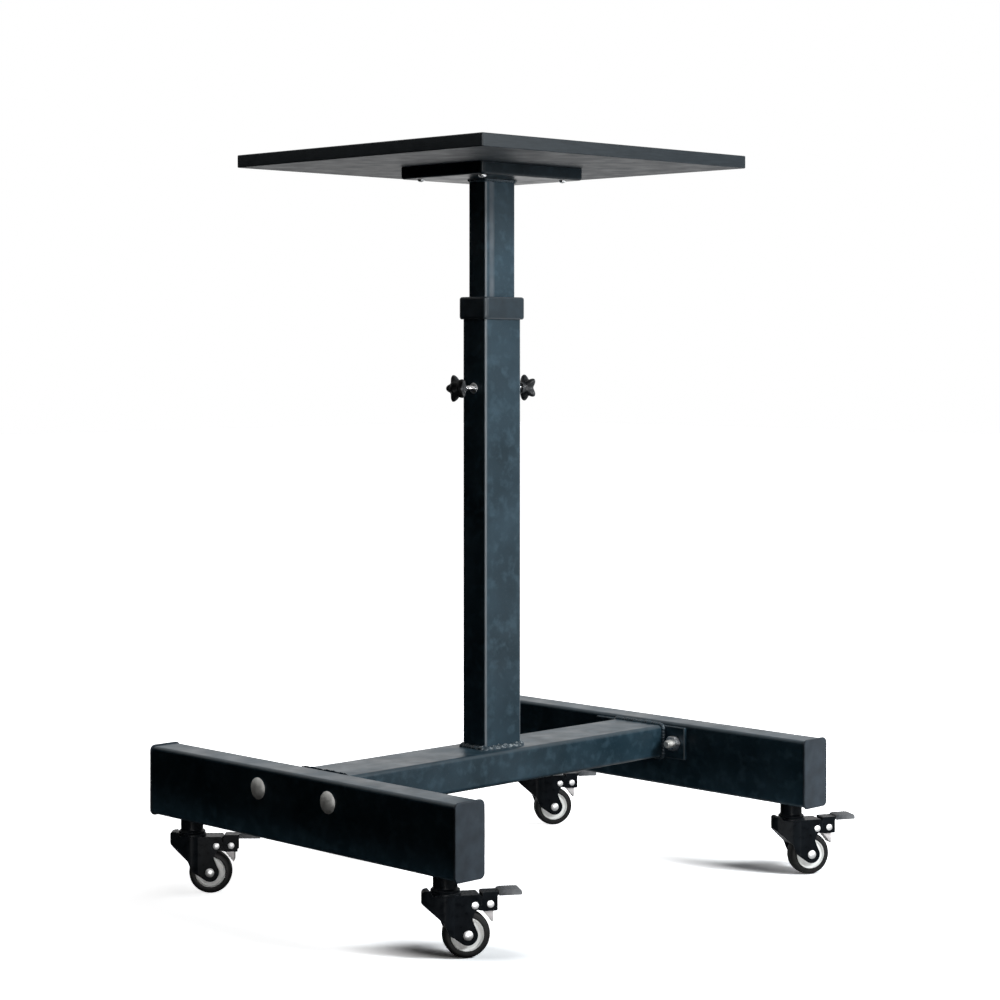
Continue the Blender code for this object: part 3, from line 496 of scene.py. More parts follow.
length = column_top - column_foot
column = sawn_tube("column_tube", column_wide, column_deep, column_corner, column_wall, length)
column.location = (cart.x, cart.y, (column_foot + column_top) / 2)
drill = rod("column_drill", 0.005, column_wide + 0.02)
drill.matrix_world = Matrix.Translation((cart.x, cart.y, knob_z)) @ Matrix.Rotation(pi / 2, 4, "Y")
bpy.context.view_layer.update()
worked(column, drill)
# The column's coat: the same powder with a strong pale highlight painted on its round corners.
upright_coat = powder_coat("upright_coat", 1, (0.34, 0.37, 0.4), 0.85)
fit(column, upright_coat, "black_paint", "base", ["outer_column"], column.location.copy())
# The weld's coat: the same powder with pale spots painted on it as glints.
weld_coat = powder_coat("weld_coat", 1, (0.07, 0.09, 0.104), 0.5, 0.75)
foot_bead = weld_run("column_weld", column_wide, column_deep, column_corner, 0.005)
fit(foot_bead, weld_coat, "black_paint", "base", (), (cart.x, cart.y, column_foot))


# The collar: a black plastic sleeve pressed over the column's end, with a lip across the sawn edge
# and a bush down inside that keeps the mast from rattling.
mast_wide = 0.05
collar_low, collar_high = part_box("column_collar")
collar_wide, collar_deep = collar_high.x - collar_low.x, collar_high.y - collar_low.y
collar_tall = collar_high.z - collar_low.z
to_tube = -(collar_wide - column_wide) / 2 + 0.0003
to_mast = -(collar_wide - mast_wide) / 2 + 0.0004
collar_section = [
    (-0.0014, 0, 0.0048), (-0.0003, 0.0014, 0.0057), (0, 0.003, 0.006), (0, collar_tall - 0.003, 0.006),
    (-0.0003, collar_tall - 0.0014, 0.0058), (-0.0012, collar_tall - 0.0004, 0.0052),
    (-0.0024, collar_tall, 0.0045), (to_mast - 0.0004 + 0.0012, collar_tall, 0.0042),
    (to_mast, collar_tall - 0.0008, 0.0037), (to_mast, 0, 0.0037),
    (to_tube - 0.0026, 0, 0.0022), (to_tube - 0.0026, collar_tall - 0.0023, 0.0022),
    (to_tube, collar_tall - 0.0023, 0.0042), (to_tube, 0, 0.0042),
]
collar = moulding("column_sleeve", collar_wide, collar_deep, 0.006, collar_section)
# The collar's plastic, with a pale highlight painted on its round corners.
collar_plastic = moulded_plastic("collar_plastic", (0.0065, 0.0145, 0.021), 0.42, 0.0007, (0.11, 0.125, 0.14))
fit(collar, collar_plastic, "black_plastic", "base", ["column_collar"], (cart.x, cart.y, collar_low.z))


# Two flanged steel bushes, pressed into the column's holes and zinc plated, are the nuts that the
# clamping screws turn in.
for side, outward in sides:
    section = [
        (0.0033, 0.001), (0.0058, 0.001), (0.0063, 0.0008), (0.0065, 0.0005), (0.0065, 0.0003),
        (0.0047, 0.0003), (0.0047, -0.0042), (0.0033, -0.0042),
    ]
    bush = turned("screw_bush_" + side, section, True)
    place = (cart.x + outward * column_wide / 2, cart.y, knob_z)
    fit(bush, zinc, "zinc", "base", [side + "_press_nut"], place, outward_turn[side])


# The clamping screws: polished M6 studs moulded into five-lobed black knobs. Turned in, each one
# presses a small brass pad against the mast. The knob swells from a round hub to its lobes.
stud_crest, stud_pitch, stud_shown = 0.003, 0.001, 0.017
hub_round, knob_reach = 0.0065, 0.0165


def knob_ring(radius, height, star):
    """A ring of the knob, from a plain circle to the full five lobes."""
    ring, steps = [], 120
    for step in range(steps):
        angle = tau * step / steps
        lobe = ((1 + cos(5 * angle)) / 2) ** 1.15
        reach = radius * (1 - star * 0.36 * (1 - lobe))
        ring.append((reach * cos(angle + pi / 2), reach * sin(angle + pi / 2), height))
    return ring


# Bright plated steel: nearly a mirror, with faint turning marks and a few dull spots.
chrome = finished(
    "polished_stud", (0.78, 0.78, 0.78),
    [(patches(0.004, 3, 0, 1, 0.5, 0.75), (0.62, 0.62, 0.63)), (edges(0.0003, 0.5), (0.9, 0.9, 0.9))],
    patches(0.002, 3, 0.1, 0.24), (0.0004, 1, 0.00001, 0.3, (1, 1, 6)), metallic=1)
knob_plastic = moulded_plastic("knob_plastic", (0.026, 0.027, 0.029), 0.38, 0.0009)
for side, outward in sides:
    low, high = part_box(side + "_clamp_screw")
    face_x = cart.x + outward * column_wide / 2
    start = low.x - face_x if outward > 0 else face_x - high.x
    rings = [ring_of(stud_crest * 0.8, stud_shown + 0.004)]
    rings += thread_rings(stud_crest, stud_pitch, start + 0.0006, stud_shown + 0.0035)
    rings += [ring_of(stud_crest * 0.84, start + 0.0004), ring_of(stud_crest * 0.7, start)]
    stud = skin("clamp_stud_" + side, rings)
    body = side + "_knob"
    fit(stud, chrome, "bright_steel", body, [side + "_clamp_screw"],
        (face_x, cart.y, knob_z), outward_turn[side])
    knob_section = [
        (0.0034, 0.0004, 0), (hub_round - 0.0012, 0, 0), (hub_round - 0.0003, 0.0003, 0),
        (hub_round, 0.001, 0), (hub_round, 0.0028, 0), (hub_round + 0.0006, 0.0042, 0.05),
        (0.0094, 0.0056, 0.45), (0.0124, 0.007, 0.8), (0.0146, 0.0085, 0.95), (0.0159, 0.0101, 1),
        (knob_reach, 0.0116, 1), (knob_reach - 0.0001, 0.0127, 1), (0.0156, 0.0135, 1), (0.0144, 0.0139, 0.95),
        (0.0123, 0.0141, 0.85), (0.0098, 0.0143, 0.5), (0.0081, 0.0147, 0.2), (0.0068, 0.0151, 0),
        (0.005, 0.0152, 0), (0.0038, 0.015, 0), (0.003, 0.0146, 0), (0.0012, 0.0145, 0),
    ]
    knob = skin("star_knob_" + side, [knob_ring(*point) for point in knob_section])
    fit(knob, knob_plastic, "knob_plastic", body, [side + "_star_knob"],
        (face_x + outward * stud_shown, cart.y, knob_z), outward_turn[side])


# The screws' pads: small discs of turned brass, with fine rings from the tool, that stay still on the
# ends of the studs while these turn, and press on the mast.
brass = finished(
    "pad_brass", (0.6, 0.43, 0.18), [(patches(0.002, 3, 0, 1, 0, 1), (0.52, 0.35, 0.13))],
    patches(0.001, 2, 0.25, 0.42), (0.0003, 1, 0.00001, 0.3), metallic=1)
for side, outward in sides:
    low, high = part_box(side + "_screw_tip")
    half = (high.x - low.x) / 2
    pad = turned("clamp_pad_" + side, [
        (0.0016, -half), (0.0024, 0.0004 - half), (0.0026, 0.0008 - half), (0.0026, half - 0.0003),
        (0.0023, half)])
    fit(pad, brass, "brass", side + "_tip", [side + "_screw_tip"], (low + high) / 2, inward_turn[side])


# The mast: 50 by 30 mm tube that slides in the column, welded at its head to the table bracket.
# A plastic glide on its foot steadies it inside the column.
mast_deep, mast_corner, mast_wall = 0.03, 0.0035, 0.0015
low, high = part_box("mast")
mast = sawn_tube("mast_tube", mast_wide, mast_deep, mast_corner, mast_wall, high.z - low.z)
# The mast's coat: a lighter copy of the powder painted for the light on the mast, with a painted highlight on
# its round corners and a painted highlight streak up one side.
lit_mast_coat = powder_coat("lit_mast_coat", 1.1, (0.34, 0.37, 0.4), 0.85, 0, -0.015)
fit(mast, lit_mast_coat, "black_paint", "mast", ["mast"], (cart.x, cart.y, (low.z + high.z) / 2))
head_bead = weld_run("mast_weld", mast_wide, mast_deep, mast_corner, 0.0034)
fit(head_bead, powder, "black_paint", "mast", (), (cart.x, cart.y, high.z), (pi, 0, 0))
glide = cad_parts["mast_glide"]
glide.data.materials.clear()
glide.data.materials.append(moulded_plastic("glide_plastic", (0.016, 0.017, 0.019), 0.5))


# The table bracket: a shallow pan folded from 2 mm sheet, open against the board, with round bends
# and a spacer under each of its four screws.
low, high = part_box("table_bracket")
pan_wide, pan_deep, pan_high, sheet_thick = high.x - low.x, high.y - low.y, high.z - low.z, 0.002
pan_section = [
    (-0.0028, 0, 0.003), (-0.0019, 0.0002, 0.0034), (-0.0009, 0.0008, 0.0042), (-0.0002, 0.0018, 0.0048),
    (0, 0.0028, 0.005), (0, pan_high - 0.0003, 0.005), (-0.0003, pan_high, 0.0047),
    (0.0003 - sheet_thick, pan_high, 0.0033), (-sheet_thick, pan_high - 0.0003, 0.003),
    (-sheet_thick, 0.0028, 0.003), (-0.0028, sheet_thick, 0.0024),
]
pan = moulding("table_pan", pan_wide, pan_deep, 0.005, pan_section, False)
# The bracket's coat, also on its spacers: a darker copy of the same powder, painted shade for the shadow under
# the board.
shaded_pan_coat = powder_coat("shaded_pan_coat", 0.32, (0.03, 0.038, 0.045), 0.4)
fit(pan, shaded_pan_coat, "black_paint", "mast", ["table_bracket"], foot_of(low, high))

spacer_high = pan_high - sheet_thick
spacer_section = [
    (0.0029, 0), (0.006, 0), (0.006, spacer_high - 0.0004), (0.0056, spacer_high), (0.0033, spacer_high),
    (0.0029, spacer_high - 0.0004),
]
corners = ("left_front", "left_rear", "right_front", "right_rear")
for corner in corners:
    place = foot_of(*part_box(corner + "_table_screw"))
    place.z = low.z + sheet_thick
    spacer = turned("pan_spacer_" + corner, spacer_section, True)
    fit(spacer, shaded_pan_coat, "black_paint", "mast", (), place)


# Four round-headed wood screws, zinc plated, go up through the bracket into the board. Each has a
# cross recess and a sharp coarse thread.
def cross_recess(depth, reach):
    """The punch for a cross recess: two crossed wedges that narrow as they go in."""
    thin = 0.0006
    plan = ((reach, thin), (-reach, thin), (-reach, -thin), (reach, -thin))
    loops = [[(share * x, y, height) for x, y in plan] for height, share in ((-0.001, 1.15), (depth, 0.35))]
    first, second = skin("recess_bit", loops), skin("recess_bit", loops)
    second.matrix_world = Matrix.Rotation(radians(90), 4, "Z")
    bpy.context.view_layer.update()
    return worked(first, second, "UNION")


head_high = 0.0028
head_section = [
    (0.0004, 0), (0.0012, 0.00008), (0.0022, 0.0003), (0.0031, 0.0007), (0.0038, 0.0012), (0.0043, 0.0018),
    (0.0046, 0.0024), (0.0046, head_high), (0.0023, head_high),
]
for corner in corners:
    node = corner + "_table_screw"
    low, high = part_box(node)
    length = high.z - low.z
    shank = thread_rings(0.0025, 0.0018, head_high + 0.0006, length - 0.0024)
    rings = [ring_of(*point) for point in head_section] + shank[::-1]
    screw = skin("board_screw_" + corner, rings + [ring_of(0.001, length - 0.001), ring_of(0.0002, length)])
    worked(screw, cross_recess(0.0017, 0.0024))
    fit(screw, zinc, "zinc", "mast", [node], foot_of(low, high))


# The tabletop: a 15 mm board faced on both sides with black laminate of a fine pebble texture. Its
# edges are banded in the same colour, smoother and streaked lengthwise, and eased by hand.
laminate = finished(
    "board_laminate", (0.008, 0.0145, 0.02),
    [(patches(0.09, 4), (0.015, 0.023, 0.0305)),
     (patches(0.0016, 2, 0, 0.5, 0.5, 0.75), (0.026, 0.034, 0.042))],
    patches(0.03, 4, 0.46, 0.6), (0.0011, 2, 0.00007, 0.5), 0.2)
banding = finished(
    "edge_band", (0.006, 0.011, 0.015),
    [(patches(0.02, 3, stretch=(1, 1, 14)), (0.014, 0.021, 0.027)),
     (edges(0.0012, patches(0.012, 2, 0.1, 0.6)), (0.08, 0.09, 0.098))],
    patches(0.01, 3, 0.34, 0.46), (0.0015, 1, 0.00003, 0.4, (1, 1, 5)), 0.2)
low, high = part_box("tabletop")
board_thick = high.z - low.z
ease = [0.0012 * (1 - sin(radians(angle))) for angle in (0, 30, 60, 90)]
section = [(-inset, height) for inset, height in zip(ease, ease[::-1])]
section += [(-inset, board_thick - height) for inset, height in zip(ease[::-1], ease)]
board = moulding("table_board", high.x - low.x, high.y - low.y, 0.003, section, False)
board.data.materials.append(laminate)
board.data.materials.append(banding)
for face in board.data.polygons:
    face.material_index = 0 if abs(face.normal.z) > 0.9 else 1
fit(board, laminate, "board", "mast", ["tabletop"], foot_of(low, high))


# The caster stems: an M10 steel stem with a round neck and the upper ball race, which stays still
# under the leg while the fork turns below it. Each caster is drawn with X from its stem towards the
# wheel, and then turned about its stem as it stands.
trail, wheel_round = 0.022, 0.025
casters = {}
for spot, heading in zip(corners, (-32, -44, -27, -32)):
    foot = foot_of(*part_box(spot + "_caster_stem"))
    casters[spot] = (foot.x, foot.y, 0), (0, 0, radians(heading))


def eased_points(points, radius, steps=4):
    """A closed outline with its corners rounded; a point may give a radius of its own."""
    outline = []
    for index, point in enumerate(points):
        own = point[2] if len(point) > 2 else radius
        before, after = points[index - 1], points[(index + 1) % len(points)]
        into = Vector((point[0] - before[0], point[1] - before[1]))
        out = Vector((after[0] - point[0], after[1] - point[1]))
        turn = atan2(into.x * out.y - into.y * out.x, into.dot(out))
        if own <= 0 or abs(turn) < radians(8):
            outline.append((point[0], point[1]))
            continue
        setback = own * abs(tan(turn / 2))
        heading = atan2(into.y, into.x)
        hand = copysign(1, turn)
        start = Vector((point[0], point[1])) - setback * into.normalized()
        centre = start + hand * own * Vector((-sin(heading), cos(heading)))
        for step in range(steps + 1):
            angle = heading + turn * step / steps - hand * pi / 2
            outline.append((centre.x + own * cos(angle), centre.y + own * sin(angle)))
    return outline


pressings = {}


def on_caster(kind, spot, make, finish, slot, body, node=None):
    """Set a piece on the caster at that spot, in the stead of its CAD node. The first of a kind is
    made, and the others share its mesh."""
    name = kind + "_" + spot
    piece = in_scene(name, pressings[kind]) if kind in pressings else make(name)
    pressings[kind] = piece.data
    body = body if body == "base" else spot + "_" + body
    fit(piece, finish, slot, body, [spot + "_" + node] if node else (), *casters[spot])


# Gloss black enamel on pressed steel: thin at the bends, with a faint ripple from the press.
enamel = finished(
    "fork_enamel", (0.0022, 0.003, 0.0042),
    [(patches(0.012, 3), (0.006, 0.0078, 0.01)),
     (edges(0.0007, patches(0.005, 2, 0.05, 0.6)), (0.075, 0.08, 0.085))],
    patches(0.006, 3, 0.24, 0.38), (0.0045, 2, 0.00005, 0.3), 0.04)
neck_section = [
    (0.0003, 0.101), (0.0042, 0.101), (0.005, 0.1), (0.005, 0.0867), (0.01, 0.0867), (0.0122, 0.0863),
    (0.013, 0.0852), (0.013, 0.075), (0.0134, 0.0737), (0.0142, 0.073), (0.015, 0.0728), (0.0155, 0.0722),
    (0.0155, 0.0708), (0.0152, 0.0703), (0.004, 0.0703), (0.004, 0.0642), (0.006, 0.0642), (0.0065, 0.0636),
    (0.006, 0.0618), (0.004, 0.0612), (0.0003, 0.0611),
]
for spot in casters:
    on_caster("caster_neck", spot, lambda name: turned(name, neck_section),
              enamel, "fork_paint", "base", "caster_stem")


# The caster forks: pressed from 2 mm steel and enamelled black. Seen from above the fork is an egg, a
# round nose with a barrel about the swivel, and two flat cheeks that reach back to axle and brake.
fork_out, fork_sheet = 0.0123, 0.002
crown_top, crown_under, cup_top = 0.067, 0.0644, 0.07


def arc(centre, radius, first, last, steps):
    angles = [radians(first + (last - first) * step / steps) for step in range(steps + 1)]
    return [(centre[0] + radius * cos(a), centre[1] + radius * sin(a)) for a in angles]


def prism(name, outline, bottom, top):
    """A plan in X and Y, stood up between two heights."""
    return skin(name, [[(x, y, height) for x, y in outline] for height in (bottom, top)])


def set_across(piece, x=0, z=0):
    """Turn a piece drawn about Z or flat on X and Y to lie across the caster, and set it in place."""
    piece.data.transform(Matrix.Translation((x, 0, z)) @ Matrix.Rotation(pi / 2, 4, "X"))
    return piece


def sheet_cut(name, outline, thick):
    """A plate cut to an outline, X and Z as drawn, its thickness along Y."""
    return set_across(prism(name, outline, -thick / 2, thick / 2))


def egg(inset):
    """The fork's plan, drawn in by so much all round."""
    nose, barrel, cheek = 0.0095 - inset, 0.015 - inset, fork_out - inset
    lean = degrees(acos((nose - barrel) / 0.016))
    meet = degrees(asin(cheek / barrel))
    near = arc((0, 0), barrel, meet, lean, 8)
    far = [(x, -y) for x, y in near[::-1]]
    return near + arc((-0.016, 0), nose, lean, 360 - lean, 20)[1:-1] + far + [(0.045, -cheek), (0.045, cheek)]


def pressed_fork(name):
    side_view = eased_points(
        [(-0.0152, crown_top, 0.002), (-0.0172, 0.072, 0.0012), (-0.0255, 0.072, 0.0045),
         (-0.0255, 0.058, 0.004), (-0.0035, 0.0385, 0.005), (0.0012, 0.0268, 0.005)]
        + [(x, z, 0) for x, z in arc((trail, wheel_round), 0.0105, 235, 395, 20)]
        + [(0.0262, 0.0415, 0.003), (0.0295, 0.0492, 0.003), (0.0365, 0.056, 0.002),
           (0.0365, crown_top, 0.003)],
        0.003,
    )
    blank_wide = 0.034
    fork = sheet_cut(name, side_view, blank_wide)
    worked(fork, prism("fork_plan", egg(0), -0.01, 0.1), "INTERSECT")
    room = sheet_cut("fork_room", [
        (-0.0235, crown_under), (-0.0235, 0.059), (-0.0035, 0.0411), (-0.0035, -0.004), (0.09, -0.004),
        (0.09, crown_under)], blank_wide)
    worked(room, prism("fork_inner_plan", egg(fork_sheet), -0.02, 0.1), "INTERSECT")
    worked(fork, room)
    worked(fork, turned("pin_hole", [(0.0044, 0.055), (0.0044, 0.095)]))
    return worked(fork, set_across(rod("axle_hole", 0.0033, 0.04), trail, wheel_round))


cup_section = [
    (0.0045, cup_top), (0.015, cup_top), (0.0161, cup_top - 0.0004), (0.0165, cup_top - 0.0012),
    (0.0165, crown_top + 0.0004), (0.016, crown_top), (0.015, crown_top - 0.0004), (0.0045, crown_top - 0.0004),
]
for spot in casters:
    on_caster("caster_pressing", spot, pressed_fork, enamel, "fork_paint", "swivel", "caster_fork")
    on_caster("caster_cup", spot, lambda name: turned(name, cup_section, True), enamel, "fork_paint", "swivel")


# Rivets and axles: zinc plated domes on both cheeks. The axle's domes are larger, and it runs in the
# wheel's bore; the pivot rivet carries the brake pedal.
def cross_pin(name, shank, dome_round, dome_tall, half, x, z):
    """A pin along Y with a low dome against each cheek."""
    steps = 32
    rings = dome_rings(dome_round, dome_tall * 0.8, half + dome_tall * 0.2, steps)
    rings += [ring_of(*point, steps) for point in (
        (dome_round, half + 0.0001), (dome_round - 0.0003, half), (shank, half))]
    return set_across(skin(name, rings + [[(x, y, -z) for x, y, z in ring] for ring in rings[::-1]]), x, z)


def small_pin(name, half, x, z):
    return cross_pin(name, 0.0026, 0.0038, 0.0012, half, x, z)


pivot_x, pivot_z = 0.0295, 0.056
rivet_zinc = bright_zinc("rivet_zinc", (0.7, 0.7, 0.7), 0.5)
for spot in casters:
    on_caster("axle_rivet", spot,
              lambda name: cross_pin(name, 0.003, 0.0052, 0.0027, fork_out, trail, wheel_round),
              rivet_zinc, "bright_steel", "swivel", "caster_axle")
    on_caster("pivot_rivet", spot, lambda name: small_pin(name, fork_out, pivot_x, pivot_z),
              rivet_zinc, "zinc", "swivel")


# The wheels: a black polyurethane tyre moulded round a white nylon hub. The hub's face is dished
# between its rim and a plain boss, and the tyre's mould line runs round the middle of the tread.
def wheel_turned(name, half_section):
    """A piece turned about the axle, the same on both sides of the wheel: radius and distance aside."""
    section = half_section + [(radius, -aside) for radius, aside in half_section[::-1]]
    return set_across(turned(name, section, True, 72), trail, wheel_round)


# Matt black tread with dust in it, and white nylon, greyer along its edges and creases.
rubber = finished(
    "tyre_tread", (0.007, 0.007, 0.0075),
    [(patches(0.007, 4, 0, 1, 0.4, 0.8), (0.019, 0.0185, 0.018)),
     (edges(0.0008, patches(0.004, 2, 0, 0.5)), (0.045, 0.044, 0.042))],
    patches(0.004, 3, 0.48, 0.66), (0.0012, 2, 0.00008, 0.5, (1, 1, 3)), 0.15)
nylon = finished(
    "hub_nylon", (0.9, 0.9, 0.88),
    [(patches(0.008, 4, 0, 1, 0.4, 0.8), (0.78, 0.78, 0.76)), (edges(0.0006, 0.35), (0.52, 0.52, 0.5))],
    patches(0.005, 3, 0.34, 0.5), (0.0009, 2, 0.00004, 0.4))
tyre_half = [(0.018, 0.0088), (0.0186, 0.009), (0.02, 0.009), (0.0206, 0.0088), (0.0214, 0.0088)]
tyre_half += [(0.0206 + 0.0043 * sin(turn), 0.0045 + 0.0043 * cos(turn))
              for turn in map(radians, (15, 35, 55, 75, 90))]
tyre_half += [(0.025, 0.0026), (0.025, 0.0004), (0.0248, 0.0002)]
hub_half = [
    (0.0033, 0.01), (0.0072, 0.01), (0.0079, 0.0096), (0.008, 0.0085), (0.0083, 0.0074), (0.0092, 0.0069),
    (0.0152, 0.0069), (0.016, 0.0073), (0.0164, 0.0083), (0.0168, 0.0087), (0.0173, 0.0087), (0.0177, 0.0082),
]
for spot in casters:
    on_caster("tyre", spot, lambda name: wheel_turned(name, tyre_half), rubber, "tyre", "wheel", "caster_tyre")
    on_caster("hub", spot, lambda name: wheel_turned(name, hub_half), nylon, "white_hub", "wheel", "caster_hub")


# The brake pedals: stamped levers that hang on the pivot rivet between the cheeks. A ribbed sleeve is
# pressed over the tip, black and worn grey where it is trodden on, and a rivet through the lever's
# sides holds the pale block that is pressed on the tyre.
lever_half, lever_wall, block_pin = 0.0093, 0.0015, 0.017
at_pivot = Matrix.Translation((pivot_x, 0, pivot_z))


def stamped_lever(name):
    outline = eased_points(
        [(x, z, 0) for x, z in arc((0, 0), 0.005, 90, 270, 16)]
        + [(0.0105, -0.007), (0.0246, -0.007), (0.0246, 0.009), (0.0502, 0.009, 0.001),
           (0.0502, 0.0137, 0.0028), (0.0271, 0.0131, 0.003), (0.0246, 0.0125, 0.003),
           (0.0085, 0.0125, 0.0015), (0.0085, 0.005)],
        0.0012,
    )
    lever = sheet_cut(name, outline, 2 * lever_half)
    plan = [(-0.02, 1), (0.025, 1), (0.0258, 0.92), (0.07, 0.92)]
    plan = [(x, lever_half * share) for x, share in plan + [(x, -share) for x, share in plan[::-1]]]
    worked(lever, prism("lever_plan", plan, -0.02, 0.03), "INTERSECT")
    room = sheet_cut("lever_room", [
        (-0.009, -0.011), (-0.009, 0.003), (0.0105, 0.003), (0.0105, 0.0105), (0.0246, 0.0105), (0.046, 0.012),
        (0.0487, 0.01), (0.0487, -0.011)], 2 * (lever_half - lever_wall) - 0.001)
    worked(lever, room)
    for along in (0, block_pin):
        worked(lever, set_across(rod("lever_hole", 0.0029, 0.04), along))
    lever.data.transform(at_pivot)
    return lever


def tread_sleeve(name):
    """The sleeve: a thin inverted channel over the lever's tip, with low ribs across its top."""
    ribs = []
    for step in range(6):
        middle = 0.0445 - 0.0028 * step
        ribs += [(middle + 0.0008, 0.0145, 0), (middle + 0.0003, 0.0148, 0), (middle - 0.0003, 0.0148, 0),
                 (middle - 0.0008, 0.0145, 0)]
    outline = eased_points(
        [(0.0262, 0.0082, 0.0003), (0.051, 0.0082, 0.001), (0.051, 0.0145, 0.0035)] + ribs
        + [(0.0271, 0.0141, 0.0006), (0.0262, 0.0134, 0.0003)],
        0.001,
    )
    sleeve = sheet_cut(name, outline, 2 * lever_half)
    inside = [(0.02, 0), (0.0503, 0), (0.0503, 0.0132), (0.0497, 0.0138), (0.02, 0.0132)]
    worked(sleeve, sheet_cut("sleeve_room", inside, 2 * lever_half - 0.0014))
    sleeve.data.transform(at_pivot)
    return sleeve


def trodden(tree, where):
    """The share of worn grey on the sleeve: none at its root, all at its tip, with a patchy border."""
    along = node_in(tree, "SeparateXYZ", {0: where}).outputs["X"]
    worn = spread(tree, along, 0, 1, pivot_x + 0.027, pivot_x + 0.05)
    return spread(tree, reckoned(tree, "ADD", worn, patches(0.004, 3, -0.16, 0.16)(tree, where)), 0, 1, 0, 1)


def brake_block(name):
    """A moulded block with its face square to the tyre and cut across into teeth."""
    reach, tilt = wheel_round + 0.0032, radians(40)
    middle = Vector((trail - pivot_x + reach * cos(tilt), wheel_round - pivot_z + reach * sin(tilt)))
    across = Vector((sin(tilt), -cos(tilt)))
    away = Vector((cos(tilt), sin(tilt)))
    teeth = []
    for step in range(9):
        spot = middle + across * (0.008 - 0.002 * step) + away * (0.0006 if step % 2 else 0)
        teeth.append((spot.x, spot.y, 0))
    outline = teeth + [(0.011, -0.0055, 0.0005), (0.0205, -0.0055, 0.001), (0.0205, teeth[0][1], 0.0015)]
    block = sheet_cut(name, eased_points(outline, 0.001), 0.015)
    block.data.transform(at_pivot)
    return block


block_plastic = moulded_plastic("block_plastic", (0.42, 0.4, 0.4), 0.55)
sleeve_plastic = finished(
    "trodden_sleeve", (0.02, 0.023, 0.027),
    [(trodden, (0.165, 0.17, 0.178)), (edges(0.0006, patches(0.003, 2, 0.1, 0.6)), (0.21, 0.215, 0.22))],
    patches(0.003, 3, 0.42, 0.6), (0.0006, 2, 0.00005, 0.5), 0.35)
for spot in casters:
    on_caster("brake_lever", spot, stamped_lever, enamel, "fork_paint", "pedal", "brake_pedal")
    on_caster("pedal_sleeve", spot, tread_sleeve, sleeve_plastic, "pedal_grey", "pedal")
    on_caster("brake_block", spot, brake_block, block_plastic, "pedal_grey", "pedal")
    on_caster("block_rivet", spot, lambda name: small_pin(name, lever_half, pivot_x + block_pin, pivot_z),
              rivet_zinc, "zinc", "pedal")


# The floor: a plain white studio floor that glows to the camera, its colour raised above white and its emission
# painting light over the cart's shadow, so that only the close shadows of the two front casters show on it,
# each in a patch drawn out away from the key light. Further off it turns as white as the background, to the
# camera and in the cart's glossy faces.
shadow_spots = ((-0.255, -0.215), (0.31, -0.187))
shadow_turn, shadow_narrow = radians(115), 2.3


def studio_sheet(name, wide, deep, at, turn, finish):
    """A flat sheet that belongs to the studio, not to the cart."""
    grid = bmesh.new()
    bmesh.ops.create_grid(grid, x_segments=2, y_segments=2, size=0.5)
    bmesh.ops.scale(grid, verts=grid.verts, vec=(wide, deep, 1))
    sheet = meshed(name, grid)
    sheet.data.materials.append(finish)
    sheet.location = at
    sheet.rotation_euler = turn
    return sheet


def away_from(tree, where, x, y, turn=0, narrow=1):
    """How far a point of the floor is from a spot beside the cart, counted longer across a turned line."""
    beside = node_in(tree, "Mapping", {
        "Vector": where, "Location": (cart.x + x, cart.y + y, 0), "Rotation": (0, 0, turn),
        "Scale": (1, 1 / narrow, 1)}, vector_type="TEXTURE")
    return node_in(tree, "VectorMath", {0: beside.outputs[0]}, operation="LENGTH").outputs["Value"]


floor_white, tree, shader, where = blank_finish("studio_floor")
rays = node_in(tree, "LightPath").outputs
seen = rays["Is Camera Ray"]
from_cart = away_from(tree, where, 0, 0)
from_shadows = reckoned(tree, "MINIMUM", *(
    away_from(tree, where, x, y, shadow_turn, shadow_narrow) for x, y in shadow_spots))
white_out = reckoned(tree, "MULTIPLY", spread(tree, from_shadows, 0, 1, 0.055, 0.155),
                     spread(tree, from_cart, 0.84, 1, 0.45, 1.1))
mirrored = spread(tree, from_cart, 0, 1, 0.45, 1.8)
shine = reckoned(tree, "MAXIMUM", reckoned(tree, "MULTIPLY", seen, white_out),
                 reckoned(tree, "MULTIPLY", rays["Is Glossy Ray"], mirrored))
fed(tree, shader, {
    "Base Color": blended(tree, seen, (0.86, 0.86, 0.86), (1.7, 1.7, 1.72)), "Roughness": 0.9,
    "Specular IOR Level": 0.1, "Emission Color": (1, 1, 1, 1), "Emission Strength": shine})
studio_sheet("studio_floor", 28, 28, (0, 0, -0.0002), (0, 0, 0), floor_white)


# The light: a key high in front, a small lamp close before the column and a soft one overhead. A long
# lamp low on the left is seen only by glossy faces, and draws the bright line on the column's corner,
# and a narrow one on the floor's level picks out the wheels.
def soft_light(name, at, aim, size, power, colour=(1, 1, 1)):
    lamp = bpy.data.lights.new(name, "AREA")
    lamp.shape = "RECTANGLE"
    lamp.size, lamp.size_y = size
    lamp.energy = power
    lamp.color = colour
    light = in_scene(name, lamp)
    light.location = cart + Vector(at)
    light.rotation_euler = (Vector(aim) - Vector(at)).to_track_quat("-Z", "Y").to_euler()
    light.visible_camera = False
    return light


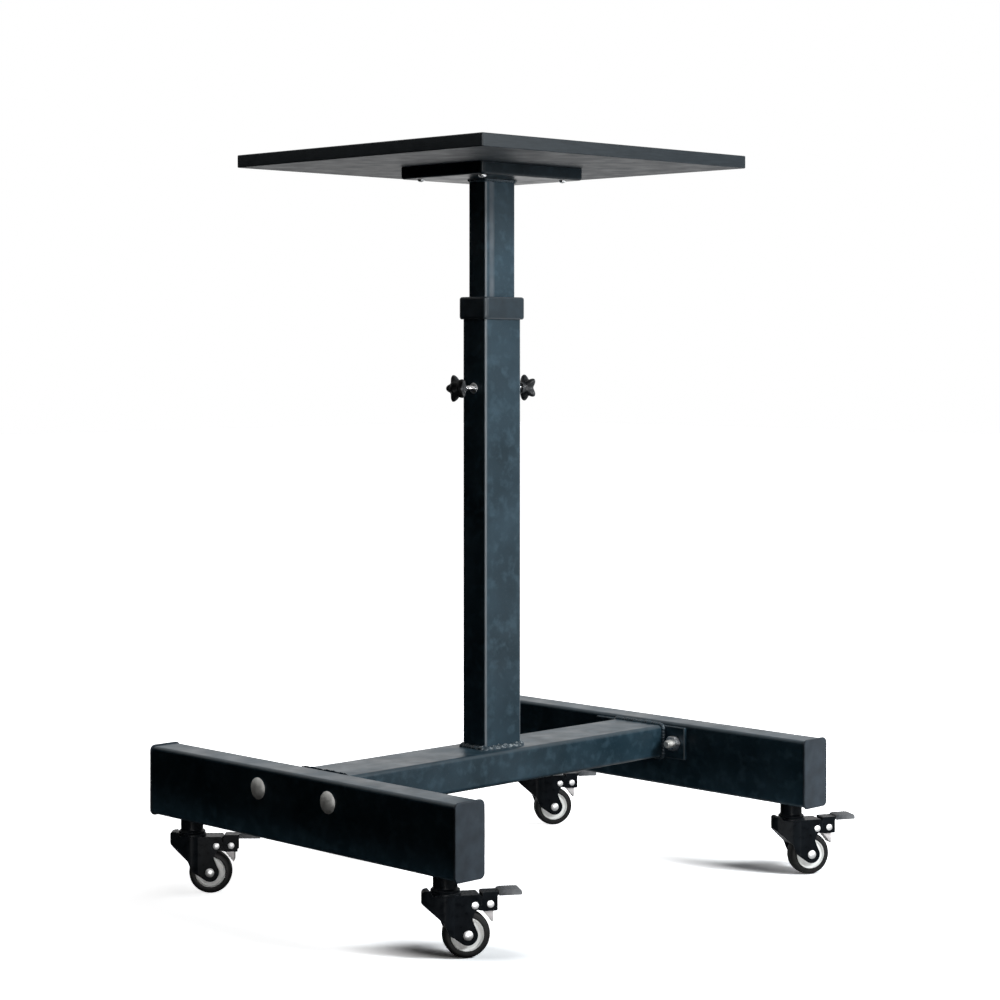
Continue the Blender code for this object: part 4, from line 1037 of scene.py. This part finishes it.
daylight = (0.94, 0.98, 1)
soft_light("key_light", (0.95, -2.9, 1.9), (0, 0, 0.35), (0.7, 0.7), 77, daylight)
soft_light("front_light", (0.35, -1.15, 0.85), (0, 0, 0.62), (0.5, 0.35), 4.5, daylight)
soft_light("overhead_light", (0.2, 0.4, 3), (0, 0, 0.2), (2, 2), 22)
corner_light = soft_light("corner_light", (-2.2, -2.25, 0.8), (0, 0, 0.8), (2.2, 0.7), 110)
corner_light.visible_diffuse = False
wheel_light = soft_light("wheel_light", (-1, -1.03, 0.05), (0, 0, 0.05), (1.1, 0.06), 0.1)
wheel_light.data.spread = radians(5)


# Black cards stand on the left and lie on the floor there, out of the camera's sight. The cart's
# left-hand faces mirror them, and stay as dark as they are. Those on the floor cast no shadow.
black_cloth, tree, shader, _ = blank_finish("black_cloth")
fed(tree, shader, {"Base Color": (0.004, 0.004, 0.004, 1), "Specular IOR Level": 0})
upright = pi / 2
for name, wide, deep, at, turn in (
    ("rear_flag", 3.6, 1.3, (-1.75, 1.55, 0.65), (upright, 0, radians(41))),
    ("side_flag", 2.6, 1.3, (-2.1, -0.7, 0.65), (upright, 0, upright)),
    ("floor_flag", 3.2, 3.4, (-1.38, 1.4, 0.0005), (0, 0, 0)),
    ("near_floor_flag", 2.7, 1.9, (-1.69, -1.25, 0.0005), (0, 0, 0)),
):
    card = studio_sheet(name, wide, deep, cart + Vector(at), turn, black_cloth)
    card.visible_camera = False
    card.visible_shadow = turn[0] == upright


# The surround: plain white to the camera and in the cart's glossy faces, and dim as a light, so that
# it fills the shadows only a little.
world = bpy.data.worlds.new("white_surround")
bpy.context.scene.world = world
world.use_nodes = True
tree = world.node_tree
rays = node_in(tree, "LightPath").outputs
seen = reckoned(tree, "MAXIMUM", rays["Is Camera Ray"], rays["Is Glossy Ray"])
seen = reckoned(tree, "MAXIMUM", seen, rays["Is Transmission Ray"])
fed(tree, tree.nodes["Background"], {"Color": (1, 1, 1, 1), "Strength": spread(tree, seen, 0.06, 1, 0, 1)})


# The camera: level, a little above the base's height, looking along the floor from the front left
# corner with a long lens, its frame dropped so that the whole cart is in it.
camera_data = bpy.data.cameras.new("camera")
camera_data.sensor_width = 36
camera_data.lens = 86.42
camera_data.shift_y = -0.145
camera_data.clip_end = 60
camera = in_scene("camera", camera_data)
camera.location = cart + Vector((-2.00375, -2.04644, 0.62871))
camera.rotation_euler = (pi / 2, 0, radians(-44.59))
bpy.context.scene.camera = camera
bpy.context.scene.view_settings.view_transform = "Standard"
